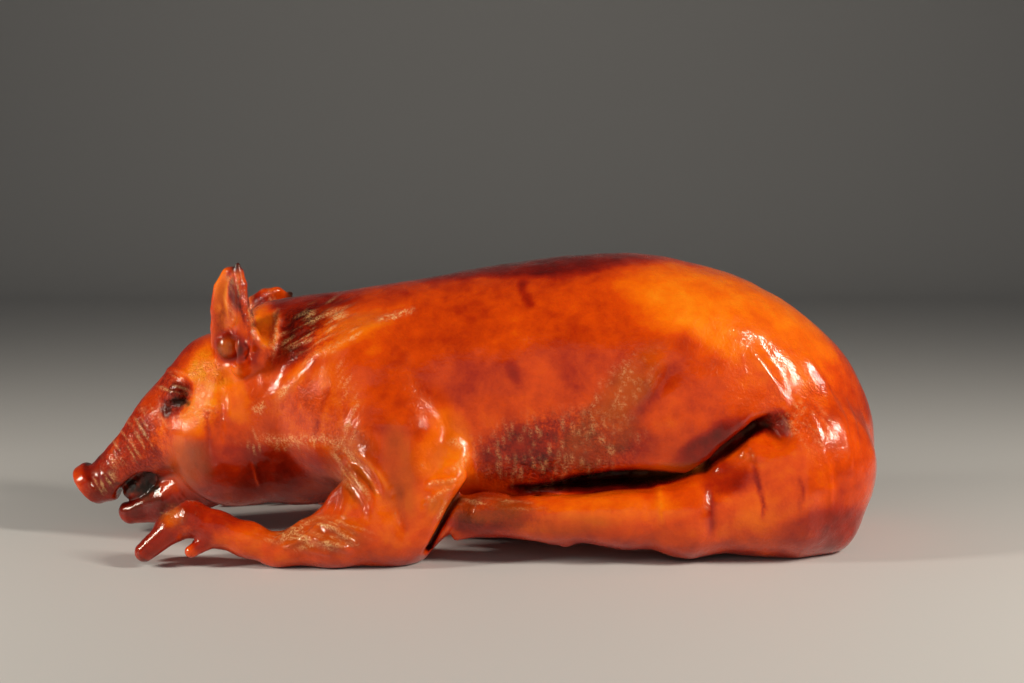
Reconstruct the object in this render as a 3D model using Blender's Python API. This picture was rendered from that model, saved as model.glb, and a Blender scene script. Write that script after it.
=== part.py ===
"""Whole roast suckling pig, lying on its folded legs with its head down and its mouth open.

The pig is one piece of meat and skin, so it is one solid. Its form is a field of signed
distances in millimetres: ellipsoids and tapered limbs that flow into each other, less the
creases, the mouth, the eye sockets and the nostrils. The surface of that field is meshed on
a grid whose cells are small at the head and large at the rump.

The head is at -X, the tail at +X, the side that faces the viewer at -Y, and +Z is up.
"""

import math

import bpy
import numpy as np

MM = 0.001
NEAR, FAR = -1, 1

# Torso: a superellipsoid from TORSO_START to TORSO_END. Each station holds x, the height
# of the section's middle, its half height and its half width.
TORSO_START, TORSO_END = -139.0, 249.0
TORSO_POWER = 3.5
TORSO_STATIONS = (
    (-140, 92, 66, 50),
    (-90, 91, 72, 58),
    (-40, 83, 79.5, 65),
    (0, 82, 85, 69),
    (50, 85.5, 88, 74),
    (100, 84, 92, 77),
    (150, 77, 93, 79),
    (200, 65.5, 94.5, 80),
    (250, 55, 98, 80),
)

# Mesh grid: cell sizes at the head and at the rump, and where the one turns into the other.
HEAD_CELL, RUMP_CELL = 2.3, 4.1
FINE_END, COARSE_START = -120.0, 120.0
GRID_START, GRID_END = -262.0, 262.0
HALF_SPAN, HEIGHT = 112.0, 186.0
MOST_TRIANGLES = 11000


# Signed distance tools


def blend(a, b, k):
    """The smooth union of two distances, rounded over about k."""
    h = np.clip(0.5 + 0.5 * (b - a) / k, 0.0, 1.0)
    return b + (a - b) * h - k * h * (1.0 - h)


def carve(a, b, k):
    """a less b, with lips rounded over about k."""
    return -blend(-a, b, k)


def unit(vector):
    vector = np.asarray(vector, float)
    return vector / np.linalg.norm(vector)


def ellipsoid(p, centre, radii, lean=0.0):
    """An ellipsoid whose x and z radii are turned by lean degrees, nose down if positive."""
    c, s = math.cos(math.radians(lean)), math.sin(math.radians(lean))
    x, y, z = p[0] - centre[0], p[1] - centre[1], p[2] - centre[2]
    x, z = c * x + s * z, c * z - s * x
    rx, ry, rz = radii
    near = np.sqrt((x / rx) ** 2 + (y / ry) ** 2 + (z / rz) ** 2)
    slope = np.sqrt((x / rx**2) ** 2 + (y / ry**2) ** 2 + (z / rz**2) ** 2)
    return near * (near - 1.0) / np.maximum(slope, 1e-6)


def tapered(p, start, end, r_start, r_end):
    """A rod from start to end whose radius runs from r_start to r_end, with round ends."""
    start, end = np.asarray(start, float), np.asarray(end, float)
    along = end - start
    px, py, pz = p[0] - start[0], p[1] - start[1], p[2] - start[2]
    t = (px * along[0] + py * along[1] + pz * along[2]) / (along @ along)
    t = np.clip(t, 0.0, 1.0)
    off = (px - t * along[0]) ** 2 + (py - t * along[1]) ** 2 + (pz - t * along[2]) ** 2
    return np.sqrt(off) - (r_start + t * (r_end - r_start))


def limb(p, joints, k):
    """Rods through joints, each (x, y, z, radius), blended over k."""
    d = None
    for a, b in zip(joints, joints[1:]):
        rod = tapered(p, a[:3], b[:3], a[3], b[3])
        d = rod if d is None else blend(d, rod, k)
    return d


def smooth_curve(stations, column):
    """The curve through one column of the stations, as a function of x and its slope."""
    xs = np.array([s[0] for s in stations], float)
    ys = np.array([s[column] for s in stations], float)
    slopes = np.gradient(ys, xs)

    def value(x):
        i = np.clip(np.searchsorted(xs, x) - 1, 0, len(xs) - 2)
        width = xs[i + 1] - xs[i]
        t = np.clip((x - xs[i]) / width, 0.0, 1.0)
        a, b = ys[i], ys[i + 1]
        ta, tb = slopes[i] * width, slopes[i + 1] * width
        return (
            a * (1 + 2 * t) * (1 - t) ** 2
            + ta * t * (1 - t) ** 2
            + b * t * t * (3 - 2 * t)
            + tb * t * t * (t - 1)
        )

    return value


TORSO_MIDDLE = smooth_curve(TORSO_STATIONS, 1)
TORSO_HALF_HEIGHT = smooth_curve(TORSO_STATIONS, 2)
TORSO_HALF_WIDTH = smooth_curve(TORSO_STATIONS, 3)


def torso(p):
    """The barrel of the body, closed at both ends by its power of x."""
    x, y, z = p
    centre = (TORSO_START + TORSO_END) / 2
    half = (TORSO_END - TORSO_START) / 2
    step = 0.5

    def section(x):
        return TORSO_MIDDLE(x), TORSO_HALF_HEIGHT(x), TORSO_HALF_WIDTH(x)

    c, h, w = section(x)
    t = np.abs(x - centre) / half
    a, b = y / w, (z - c) / h
    size = np.sqrt(a * a + b * b + t**TORSO_POWER)
    c2, h2, w2 = section(x + step)
    t2 = np.abs(x + step - centre) / half
    size_on = np.sqrt((y / w2) ** 2 + ((z - c2) / h2) ** 2 + t2**TORSO_POWER)
    slope_x = (size_on - size) / step
    safe = np.maximum(size, 0.3)
    slope = np.sqrt(slope_x**2 + (a / (w * safe)) ** 2 + (b / (h * safe)) ** 2)
    return (size - 1.0) / np.maximum(slope, 0.004)


# Parts of the pig


def head(p):
    """Skull, jowls, muzzle, snout and lower jaw, with the mouth open between them."""
    x, y, z = p
    side = (x, np.abs(y), z)
    d = ellipsoid(p, (-146, 0, 95), (36, 36, 34))
    d = blend(d, ellipsoid(p, (-128, 0, 115), (21, 25, 27)), 10)
    d = blend(d, tapered(p, (-188, 0, 73.5), (-162, 0, 101), 20.5, 22.5), 9)
    d = blend(d, ellipsoid(side, (-146, 19, 58), (40, 27, 37)), 14)
    muzzle = limb(p, ((-161, 0, 82, 34), (-195, 0, 60, 22.5), (-231, 0, 34, 14)), 8)
    d = blend(d, muzzle, 12)
    d = blend(d, tapered(side, (-176, 24, 68), (-152, 30, 74), 9, 12), 12)
    jaw = limb(p, ((-160, 0, 43, 24), (-190, 0, 22, 14.5), (-217, 0, 13, 8)), 8)
    d = blend(d, jaw, 4)
    d = carve(d, ellipsoid(p, (-211, 0, 31), (16, 40, 7), 37), 2.5)
    d = blend(d, ellipsoid(p, (-207.5, 0, 33), (16.5, 8.5, 9), 37), 2.5)
    return blend(d, snout(p), 3)


def snout(p):
    """The flat nose disc, with its rim and two nostrils."""
    centre = np.array((-241.0, 0.0, 31.5))
    facing = unit((-0.81, 0.0, -0.58))
    up = unit((-0.58, 0.0, 0.81))
    q = [p[i] - centre[i] for i in range(3)]
    out = q[0] * facing[0] + q[2] * facing[2]
    rise = q[0] * up[0] + q[2] * up[2]
    ring = np.sqrt((rise / 0.95) ** 2 + (p[1] / 1.08) ** 2)
    d = np.maximum(ring - 11.5, np.abs(out) - 2.0)
    edge = np.maximum(ring - 11.5, 0.0) ** 2 + np.maximum(np.abs(out) - 2.0, 0.0) ** 2
    d = np.where(d > 0, np.sqrt(edge), d) - 3.0
    hole = np.sqrt((rise / 1.4) ** 2 + (np.abs(p[1]) - 5.2) ** 2)
    pit = np.maximum(hole - 2.6, -(out + 1.5))
    return carve(d, pit, 2.0)


def eyes(p, d):
    """Sunken sockets with a shrunken, closed lid in each."""
    side = (p[0], np.abs(p[1]), p[2])
    d = carve(d, ellipsoid(side, (-181, 36, 93), (12.5, 14, 10.5), 40), 4)
    d = blend(d, ellipsoid(side, (-180.5, 22.5, 92), (9, 6.5, 6), 30), 3)
    return carve(d, tapered(side, (-188, 31, 87), (-173, 31.5, 94), 1.8, 1.8), 2)


def ear(p, base, tip, facing, half_width, rear):
    """A cupped, pointed leaf from base to tip that opens towards facing, with a rolled edge.

    The roll runs from the tip down the rear edge and round under the pit at the root. rear is
    the sign of the rear edge's direction across the ear.
    """
    base, tip = np.asarray(base, float), np.asarray(tip, float)
    length = np.linalg.norm(tip - base)
    up = unit(tip - base)
    out = unit(np.asarray(facing, float) - (np.asarray(facing, float) @ up) * up)
    across = np.cross(up, out) * rear
    q = [p[i] - base[i] for i in range(3)]
    rise = sum(q[i] * up[i] for i in range(3))
    wide = sum(q[i] * across[i] for i in range(3))
    deep = sum(q[i] * out[i] for i in range(3))

    reach = np.where(rise > 0, length, 0.55 * length)
    near = np.sqrt((wide / half_width) ** 2 + np.abs(rise / reach) ** EAR_POINT)
    slope_up = 0.5 * EAR_POINT * np.abs(rise / reach) ** (EAR_POINT - 1) / reach
    slope = np.sqrt((wide / half_width**2) ** 2 + slope_up**2)
    outline = near * (near - 1.0) / np.maximum(slope, 0.02)
    bowl = EAR_CUP * (wide / half_width) ** 2 - 0.35 * EAR_CUP
    tilt = np.sqrt(1.0 + (2.0 * EAR_CUP * wide / half_width**2) ** 2)
    sheet = np.abs(deep - bowl) / tilt - EAR_THICKNESS
    d = -blend(-outline, -sheet, 2.5)

    for roll in (EAR_REAR_ROLL, EAR_FRONT_ROLL):
        path = []
        for w, r, radius in roll:
            lift = EAR_CUP * (w * w - 0.35) + EAR_ROOT_LIFT * max(-r, 0.0)
            spot = base + across * w * half_width + up * r * length + out * lift
            path.append((*spot, radius))
        d = blend(d, limb(p, path, 2), 3)
    pit = base - up * 0.27 * length + out * 4.0
    pit_axes = [sum((p[i] - pit[i]) * axis[i] for i in range(3)) for axis in (across, out, up)]
    hollow = ellipsoid(pit_axes, (1, 4, 0), (12.5, 8.5, 9))
    return d, hollow, ellipsoid(pit_axes, (-4.5, -2.5, -0.5), (8, 7, 8.5))


EAR_POINT = 2.9
EAR_CUP, EAR_THICKNESS = 6.0, 2.2
EAR_ROOT_LIFT = 9.0
# Rolled edges: shares of the ear's half width and length, and the roll's radius.
EAR_REAR_ROLL = (
    (0.32, 1.07, 1.6),
    (0.36, 0.95, 2.4),
    (0.56, 0.78, 3.2),
    (0.76, 0.52, 3.9),
    (0.92, 0.22, 4.3),
    (1.12, -0.1, 4.4),
    (1.02, -0.32, 4.4),
    (0.6, -0.47, 4.2),
    (0.0, -0.5, 3.6),
    (-0.55, -0.42, 3.2),
)
EAR_FRONT_ROLL = (
    (0.2, 0.97, 2.0),
    (-0.35, 0.9, 2.3),
    (-0.75, 0.66, 2.5),
    (-0.92, 0.3, 2.7),
    (-0.94, 0.0, 3.1),
    (-0.86, -0.28, 3.1),
)


# A roll of skin behind each ear's root: x, y, z and radius.
EAR_FOLD = (
    (-139, 41, 132, 3.6),
    (-132, 38, 129.5, 4.4),
    (-127, 37.5, 121, 4.8),
    (-129.5, 39, 112.5, 4.6),
    (-138, 41, 107.5, 4),
)


def ears(p, d):
    """The near ear stands up and the far one lies back; each has a pit at its root."""
    d = blend(d, limb((p[0], np.abs(p[1]), p[2]), EAR_FOLD, 2), 3)
    near = ear(p, (-142, -38, 131), (-141.5, -48, 168.5), (-0.62, -0.78, 0.1), 13.5, 1)
    far = ear(p, (-141, 38, 127), (-127, 49, 149), (-0.45, 0.75, 0.5), 15, -1)
    for leaf, hollow, lump in (near, far):
        d = blend(d, leaf, 5)
        d = carve(d, hollow, 3)
        d = blend(d, lump, 3)
    return d


def foreleg(p, side, back, lift):
    """Shoulder, upper arm, forearm laid forward, bent pastern and two toes."""
    y = p[1] * side
    q = (p[0] - back, y, p[2] - lift)
    d = ellipsoid(q, (-60, 36, 86), (54, 36, 52))
    d = blend(d, limb(q, ((-44, 54, 66, 32), (-46, 76, 24, 19)), 10), 16)
    d = blend(d, limb(q, ((-14, 63, 57, 14), (-45, 78, 19, 17)), 10), 10)
    forearm = limb(q, ((-44, 80, 18, 17), (-78, 84, 14, 14), (-110, 84, 9, 9.5)), 8)
    d = blend(d, forearm, 8)
    d = blend(d, ellipsoid(q, (-52, 74, 24), (36, 16, 29)), 8)
    d = blend(d, tapered(q, (-67, 77, 28.5), (-104, 83, 11.5), 12.5, 8), 6)
    d = blend(d, tapered(q, (-9, 77, 50), (-31, 83, 19), 7, 11.5), 5)
    foot = ((-110, 84, 8.5, 9.5), (-128, 84, 15.5, 9), (-146, 83, 21.5, 9.3), (-160, 82, 27, 9.8))
    d = blend(d, limb(q, foot, 6), 4)
    d = blend(d, limb(q, ((-160, 82, 27.5, 9.8), (-172.5, 81, 21.5, 9.2)), 3), 3)
    for toe in (-5.5, 5.5):
        claw = limb(q, ((-172, 81 + toe, 21, 7.2), (-186, 81 + toe * 1.2, 9, 6)), 3)
        d = blend(d, claw, 3)
        dew = tapered(q, (-152, 82 + toe, 14), (-159, 82 + toe * 1.5, 10), 4.2, 3.4)
        d = blend(d, dew, 3)
    return d


def hind_leg(p, side, back, lift):
    """Ham, leg laid forward along the belly, hock and two toes."""
    y = p[1] * side
    q = (p[0] - back, y, p[2] - lift)
    d = ellipsoid(q, (186, 42, 49), (54.5, 46, 52))
    d = blend(d, tapered(q, (210, 14, 17.5), (209, 48, 17.5), 18.5, 18.5), 12)
    leg = ((180, 56, 35, 37), (125, 71, 25, 20.5), (88, 75, 26.5, 15.5), (48, 77, 26.5, 14.5))
    d = blend(d, limb(q, leg, 12), 12)
    shank = limb(q, ((36, 77, 27, 14), (8, 73, 27.5, 11.6), (-18, 70, 26, 10.5)), 6)
    d = blend(d, shank, 3)
    d = blend(d, tapered(q, (46, 77, 20), (54, 77, 15), 8, 5.5), 5)
    for toe in (-6, 6):
        claw = limb(q, ((-16, 70 + toe, 25, 7.5), (-36, 69 + toe * 1.1, 16, 5.5)), 3)
        d = blend(d, claw, 2)
        dew = tapered(q, (2, 72 + toe, 20), (-8, 71 + toe * 1.2, 17), 4.2, 3.2)
        d = blend(d, dew, 2)
    return d


def crease(p, side, path):
    """A slit that runs in from the side along path, each point (x, z, half gap, depth in y)."""
    x, z = p[0], p[2]
    y = p[1] * side
    d = None
    for (xa, za, ga, ya), (xb, zb, gb, yb) in zip(path, path[1:]):
        dx, dz = xb - xa, zb - za
        t = np.clip(((x - xa) * dx + (z - za) * dz) / (dx * dx + dz * dz), 0.0, 1.0)
        flat = np.sqrt((x - xa - t * dx) ** 2 + (z - za - t * dz) ** 2)
        cut = np.maximum(flat - (ga + t * (gb - ga)), (ya + t * (yb - ya)) - y)
        d = cut if d is None else np.minimum(d, cut)
    return d


GROIN = ((177, 85, 0.5, 76), (163, 78, 3.2, 64), (146, 65, 3.5, 60), (134, 55, 1.6, 62))
GROIN_TO_BELLY = (
    (134, 55, 1.6, 62),
    (124, 50, 1.4, 60),
    (114, 48.5, 3.0, 50),
    (102, 47.8, 4.2, 42),
    (90, 47.2, 4.8, 38),
    (73, 45.6, 4.5, 38),
    (60, 44, 3.2, 44),
    (45, 41.8, 1.0, 56),
    (24, 39.8, 0.5, 64),
)
GROIN_POCKET = ((171, 80, 77), (9, 9, 7), -30)
# Where the arm's rear edge lies over the hind foot.
ELBOW = (
    (9, 61, 0.4, 82),
    (-3, 46, 1.2, 76),
    (-12, 33, 1.7, 72),
    (-18, 22, 1.7, 70),
    (-25, 9, 1.4, 70),
)


def tail(p):
    """A short tail that hangs down on the far side of the rump and curls at its end."""
    root = ((231, 16, 98, 8), (240, 24, 88, 5.6), (244, 31, 76, 4.8))
    end = ((244, 31, 76, 4.8), (242, 38, 63, 4.4), (241, 46, 57, 3.8), (240, 52, 63, 3.2))
    return blend(limb(p, root, 4), limb(p, end, 3), 1)


# Folds of the skin on both sides, from a distance of FOLD_DEPTH off the middle plane: height,
# width and then the path, as x and z. A negative height is a groove.
FOLD_DEPTH = 20.0
NECK_FOLDS = (
    (2.2, 6.0, ((-128, 84), (-114, 94), (-92, 120), (-80, 124), (-71, 130), (-51, 138), (-35, 144))),
    (1.3, 2.6, ((-116, 146), (-119, 132), (-120, 123), (-122, 113))),
    (-2.2, 5.5, ((-111, 141), (-113, 127), (-117, 112))),
    (1.4, 4.5, ((-159, 119), (-154, 107), (-155, 90), (-160, 71))),
    (1.3, 4.0, ((-149, 102), (-145, 90), (-141, 75))),
    (-1.2, 3.2, ((-152, 98), (-150, 80), (-151, 60))),
    (1.4, 7.0, ((-131, 67), (-105, 66), (-73, 70))),
)
ARM_FOLDS = (
    (2.2, 3.6, ((-68, 67), (-60, 62), (-53, 55), (-49, 48), (-46, 38))),
    (-1.2, 2.8, ((-71, 62), (-63, 57), (-57, 50), (-53, 40))),
    (2.0, 3.4, ((-75, 58), (-67, 53), (-61, 46), (-57, 38), (-54, 28))),
    (1.8, 3.2, ((-72, 50), (-73, 44), (-72, 39), (-74, 32), (-77, 27), (-84, 22))),
    (1.3, 4.0, ((-17, 70), (-11, 71.5), (-5, 68), (-4, 63), (-7, 58), (-12, 56), (-18, 53))),
    (1.8, 3.2, ((-26, 39), (-21, 46.5), (-15, 49), (-6, 50.5))),
    (1.4, 3.0, ((-29, 29), (-24, 36), (-18, 40), (-11, 43))),
    (1.2, 3.0, ((-92, 20), (-84, 18), (-75, 15), (-65, 10))),
    (-2.4, 6.0, ((-41, 50), (-39, 36), (-37, 23), (-38, 13))),
)
REAR_FOLDS = (
    (-2.0, 5.0, ((119, 119), (110, 104), (102, 92), (91, 79))),
    (1.5, 5.0, ((110, 123), (103, 109), (95, 94), (85, 80))),
    (1.2, 3.6, ((159, 127), (168, 114), (177, 101), (186, 87))),
    (-0.9, 3.4, ((165, 131), (174, 118), (183, 105), (192, 90))),
    (1.2, 3.6, ((182, 107), (190, 96), (197, 83), (202, 68))),
    (0.9, 3.4, ((193, 122), (205, 105), (213, 86), (217, 70))),
    (1.1, 3.2, ((108, 49), (109, 36), (111, 18))),
    (-1.4, 3.4, ((139, 50), (137, 36), (137, 14))),
    (-1.0, 2.6, ((38, 42), (37, 30), (38, 14))),
)


def ridge(x, z, path, width):
    """1 on a path of x and z, less by a bell curve over width and towards the path's ends."""
    spots = np.array(path, float)
    steps = np.linalg.norm(np.diff(spots, axis=0), axis=1)
    gap = np.full(np.shape(x), np.inf)
    passed = np.zeros(np.shape(x))
    for (xa, za), (xb, zb), step, start in zip(spots, spots[1:], steps, np.cumsum(steps) - steps):
        t = np.clip(((x - xa) * (xb - xa) + (z - za) * (zb - za)) / step**2, 0.0, 1.0)
        here = np.hypot(x - xa - t * (xb - xa), z - za - t * (zb - za))
        passed = np.where(here < gap, start + t * step, passed)
        gap = np.minimum(gap, here)
    share = passed / steps.sum()
    ends = np.clip(4 * np.minimum(share, 1 - share), 0.0, 1.0)
    return np.exp(-((gap / width) ** 2)) * ends * ends * (3 - 2 * ends)


def fold_height(p):
    """How far the folds raise the skin, in millimetres."""
    x, y, z = p
    height = np.zeros(np.shape(x))
    for rise, width, path in NECK_FOLDS + ARM_FOLDS + REAR_FOLDS:
        low = np.min(path, axis=0) - 2.5 * width
        high = np.max(path, axis=0) + 2.5 * width
        near = (x > low[0]) & (x < high[0]) & (z > low[1]) & (z < high[1]) & (np.abs(y) > FOLD_DEPTH)
        height[near] += rise * ridge(x[near], z[near], path, width)
    return height


def pig(p):
    """Signed distance of the whole pig, in millimetres."""
    d = torso(p)
    d = blend(d, ellipsoid(p, (-108, 0, 83), (56, 50, 65)), 18)
    for side, back, lift in ((NEAR, 0.0, 0.0), (FAR, 7.0, -1.0)):
        q = (p[0], p[1] * side, p[2])
        d = blend(d, ellipsoid(q, (128, 52, 78), (44, 25, 30), -20), 14)
        d = blend(d, hind_leg(p, side, back, lift), 7)
        d = carve(d, crease(p, side, GROIN), 6)
        d = carve(d, crease(p, side, GROIN_TO_BELLY), 5)
        d = carve(d, ellipsoid(q, *GROIN_POCKET), 8)
        d = blend(d, foreleg(p, side, back, lift), 7)
        d = carve(d, crease((p[0] - back, p[1], p[2] - lift), side, ELBOW), 3)
    d = blend(d, head(p), 12)
    d = eyes(p, d)
    d = ears(p, d)
    d = carve(d, tapered(p, (262, 0, 78), (232, 0, -8), 5, 9), 12)
    d = blend(d, tail(p), 4) - fold_height(p)
    return -blend(-d, p[2], 2.0)


# Meshing


def cell_size(x):
    share = np.clip((x - FINE_END) / (COARSE_START - FINE_END), 0.0, 1.0)
    return HEAD_CELL + (RUMP_CELL - HEAD_CELL) * share * share * (3 - 2 * share)


def grid_points(scale=1.0):
    """The grid's x values, and the whole numbers of cells across and up from the middle."""
    xs = [GRID_START]
    while xs[-1] < GRID_END:
        xs.append(xs[-1] + scale * float(cell_size(xs[-1])))
    smallest = scale * HEAD_CELL
    across = math.ceil(HALF_SPAN / smallest)
    up = math.ceil(HEIGHT / smallest)
    return np.array(xs), np.arange(-across, across + 1), np.arange(-3, up + 1)


def to_space(i, j, k, xs, scale=1.0):
    """Grid coordinates, whole or not, as a point in millimetres."""
    x = np.interp(i, np.arange(len(xs)), xs)
    size = scale * cell_size(x)
    return x, (j + 0.37) * size, (k + 0.41) * size


def fill_pinches(values, filled=-0.05):
    """Fills samples in until no face or cell of the grid has inside corners only on a diagonal.

    The surface would touch itself there, along an edge or at a point.
    """
    corner = [np.array(c) for c in np.ndindex(2, 2, 2)]
    faces = []
    for axis in range(3):
        b, c = np.eye(3, dtype=int)[(axis + 1) % 3], np.eye(3, dtype=int)[(axis + 2) % 3]
        faces += [((0 * b, b + c), (b, c)), ((b, c), (0 * b, b + c))]
    cells = []
    for low in corner[:4]:
        pair = (low, 1 - low)
        rest = [c for c in corner if not any((c == end).all() for end in pair)]
        cells += [(pair, rest), (rest, pair)]
    size = np.array(values.shape) - 1

    def sample(at):
        return values[tuple(slice(int(a), int(a) + int(n)) for a, n in zip(at, size))]

    found = True
    while found:
        found = False
        for inner, outer in faces + cells:
            pinched = np.logical_and.reduce([sample(at) < 0 for at in inner])
            pinched &= np.logical_and.reduce([sample(at) >= 0 for at in outer])
            for spot in np.argwhere(pinched):
                found = True
                nearest = min((tuple(spot + at) for at in outer), key=lambda at: values[at])
                values[nearest] = filled
    return values


def surface_net(values):
    """Points in grid coordinates and quads of the surface where values change sign."""
    values = fill_pinches(values)
    inside = values < 0
    nx, ny, nz = values.shape
    total = np.zeros((nx - 1, ny - 1, nz - 1, 3), np.float64)
    count = np.zeros((nx - 1, ny - 1, nz - 1), np.int32)
    quads = []
    crossings = []
    for axis in range(3):
        low = [slice(None)] * 3
        high = [slice(None)] * 3
        low[axis], high[axis] = slice(None, -1), slice(1, None)
        low, high = tuple(low), tuple(high)
        cut = np.argwhere(inside[low] != inside[high])
        start = values[low][tuple(cut.T)]
        end = values[high][tuple(cut.T)]
        spot = cut.astype(float)
        spot[:, axis] += start / (start - end)
        crossings.append((axis, cut, start < 0))
        b, c = (axis + 1) % 3, (axis + 2) % 3
        for db in (0, -1):
            for dc in (0, -1):
                cell = cut.copy()
                cell[:, b] += db
                cell[:, c] += dc
                fits = np.all((cell >= 0) & (cell < np.array(count.shape)), axis=1)
                at = tuple(cell[fits].T)
                np.add.at(total, at, spot[fits])
                np.add.at(count, at, 1)
    used = np.argwhere(count > 0)
    number = np.full(count.shape, -1, np.int64)
    number[tuple(used.T)] = np.arange(len(used))
    points = total[tuple(used.T)] / count[tuple(used.T)][:, None]
    for axis, cut, outward in crossings:
        b, c = (axis + 1) % 3, (axis + 2) % 3
        ring = []
        for db, dc in ((0, 0), (-1, 0), (-1, -1), (0, -1)):
            cell = cut.copy()
            cell[:, b] += db
            cell[:, c] += dc
            ring.append(number[tuple(cell.T)])
        ring = np.stack(ring, axis=1)
        ring[~outward] = ring[~outward][:, ::-1]
        quads.append(ring)
    return points, np.concatenate(quads)


def slope_at(points, probe=0.4):
    """The field's slope at each point, which points out of the pig."""
    slope = np.empty(points.shape)
    for axis in range(3):
        step = probe * np.eye(3)[axis]
        slope[:, axis] = (pig(tuple((points + step).T)) - pig(tuple((points - step).T))) / (2 * probe)
    return slope


def onto_surface(points, steps=3):
    """Moves points along the field's slope to where its distance is zero."""
    for _ in range(steps):
        slope = slope_at(points)
        length2 = np.maximum((slope**2).sum(1), 0.05)
        step = -(pig(tuple(points.T)) / length2)[:, None] * slope
        points = points + np.clip(step, -0.7, 0.7)
    return points


def unfold(points, triangles, rounds=30):
    """Evens out the points of triangles that face into the pig, until none is left."""
    for _ in range(rounds):
        a, b, c = (points[triangles[:, i]] for i in range(3))
        facing = np.cross(b - a, c - a)
        wrong = (facing * slope_at((a + b + c) / 3)).sum(1) < 0
        if not wrong.any():
            break
        total = np.zeros(points.shape)
        count = np.zeros(len(points))
        for start, end in ((0, 1), (1, 2), (2, 0)):
            np.add.at(total, triangles[:, start], points[triangles[:, end]])
            np.add.at(count, triangles[:, start], 1)
        moved = np.unique(triangles[wrong])
        points[moved] = onto_surface(total[moved] / count[moved, None])
    return points


def pig_mesh():
    """The pig's surface as points in millimetres and quads."""
    xs, across, up = grid_points()
    i, j, k = np.meshgrid(np.arange(len(xs)), across, up, indexing="ij")
    values = pig(to_space(i, j, k, xs))
    points, quads = surface_net(values)
    space = to_space(points[:, 0], points[:, 1] + across[0], points[:, 2] + up[0], xs)
    return onto_surface(np.stack(space, axis=1)), quads


def skin_material():
    """Glazed, browned pork skin."""
    material = bpy.data.materials.new("roast_skin")
    material.use_nodes = True
    shader = material.node_tree.nodes["Principled BSDF"]
    shader.inputs["Base Color"].default_value = (0.62, 0.17, 0.03, 1.0)
    shader.inputs["Roughness"].default_value = 0.3
    shader.inputs["Metallic"].default_value = 0.0
    return material


def thin_out(pig_object, ratio):
    """Replaces the object's mesh by one of triangles, with about that share of them."""
    thin = pig_object.modifiers.new("fewer_faces", "DECIMATE")
    thin.ratio = ratio
    thin.use_collapse_triangulate = True
    graph = bpy.context.evaluated_depsgraph_get()
    full = pig_object.data
    pig_object.data = bpy.data.meshes.new_from_object(pig_object.evaluated_get(graph))
    pig_object.modifiers.remove(thin)
    bpy.data.meshes.remove(full)


def settle(mesh):
    """Unfolds the mesh, turns it to metres, centres it and stands it on the ground."""
    points = np.empty((len(mesh.vertices), 3))
    mesh.vertices.foreach_get("co", points.ravel())
    triangles = np.empty((len(mesh.polygons), 3), int)
    mesh.polygons.foreach_get("vertices", triangles.ravel())
    points = unfold(points, triangles)
    middle = (points.min(0) + points.max(0)) / 2
    points -= (middle[0], middle[1], points[:, 2].min())
    mesh.vertices.foreach_set("co", (points * MM).ravel())
    mesh.update()


def build():
    for obj in list(bpy.data.objects):
        bpy.data.objects.remove(obj)
    points, quads = pig_mesh()
    mesh = bpy.data.meshes.new("roast_pig")
    mesh.from_pydata(points.tolist(), [], quads.tolist())
    mesh.validate()
    mesh.materials.append(skin_material())
    pig_object = bpy.data.objects.new("roast_pig", mesh)
    bpy.context.scene.collection.objects.link(pig_object)
    thin_out(pig_object, min(1.0, MOST_TRIANGLES / (2 * len(quads))))
    settle(pig_object.data)
    pig_object.data.name = "roast_pig"
    pig_object.data.shade_smooth()
    return pig_object


build()
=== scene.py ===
"""Looks of a whole roast suckling pig: its skin, browning and glaze, the floor, light and camera.

The skin repeats the signed distance field of the solid in millimetres on a finer grid, adds
folds, wrinkles and pits as relief, and stores how brown, rough and charred each point is,
along with painted shade and painted highlights.
"""

import math

import bpy
import numpy as np
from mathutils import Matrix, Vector


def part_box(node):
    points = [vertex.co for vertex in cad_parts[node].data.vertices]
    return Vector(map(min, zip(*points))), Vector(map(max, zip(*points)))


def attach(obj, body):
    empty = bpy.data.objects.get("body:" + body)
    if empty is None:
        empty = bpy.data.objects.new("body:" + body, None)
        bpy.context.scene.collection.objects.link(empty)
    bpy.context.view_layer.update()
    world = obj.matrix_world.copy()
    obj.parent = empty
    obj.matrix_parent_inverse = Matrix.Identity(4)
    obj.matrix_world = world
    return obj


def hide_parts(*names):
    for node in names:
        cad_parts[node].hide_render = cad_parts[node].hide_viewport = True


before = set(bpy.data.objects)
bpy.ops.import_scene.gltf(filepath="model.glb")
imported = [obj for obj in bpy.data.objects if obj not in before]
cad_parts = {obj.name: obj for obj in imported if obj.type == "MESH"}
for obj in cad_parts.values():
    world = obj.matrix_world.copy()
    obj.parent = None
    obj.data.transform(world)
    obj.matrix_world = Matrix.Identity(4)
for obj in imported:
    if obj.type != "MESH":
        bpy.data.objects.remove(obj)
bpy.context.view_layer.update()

MM = 0.001
SCALE = 1.0
NEAR, FAR = -1, 1

# Torso: a superellipsoid from TORSO_START to TORSO_END. Each station holds x, the height
# of the section's middle, its half height and its half width.
TORSO_START, TORSO_END = -139.0, 249.0
TORSO_POWER = 3.5
TORSO_STATIONS = (
    (-140, 92, 66, 50),
    (-90, 91, 72, 58),
    (-40, 83, 79.5, 65),
    (0, 82, 85, 69),
    (50, 85.5, 88, 74),
    (100, 84, 92, 77),
    (150, 77, 93, 79),
    (200, 65.5, 94.5, 80),
    (250, 55, 98, 80),
)


# Signed distance tools


def blend(a, b, k):
    """The smooth union of two distances, rounded over about k."""
    h = np.clip(0.5 + 0.5 * (b - a) / k, 0.0, 1.0)
    return b + (a - b) * h - k * h * (1.0 - h)


def carve(a, b, k):
    """a less b, with lips rounded over about k."""
    return -blend(-a, b, k)


def unit(vector):
    vector = np.asarray(vector, float)
    return vector / np.linalg.norm(vector)


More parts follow.
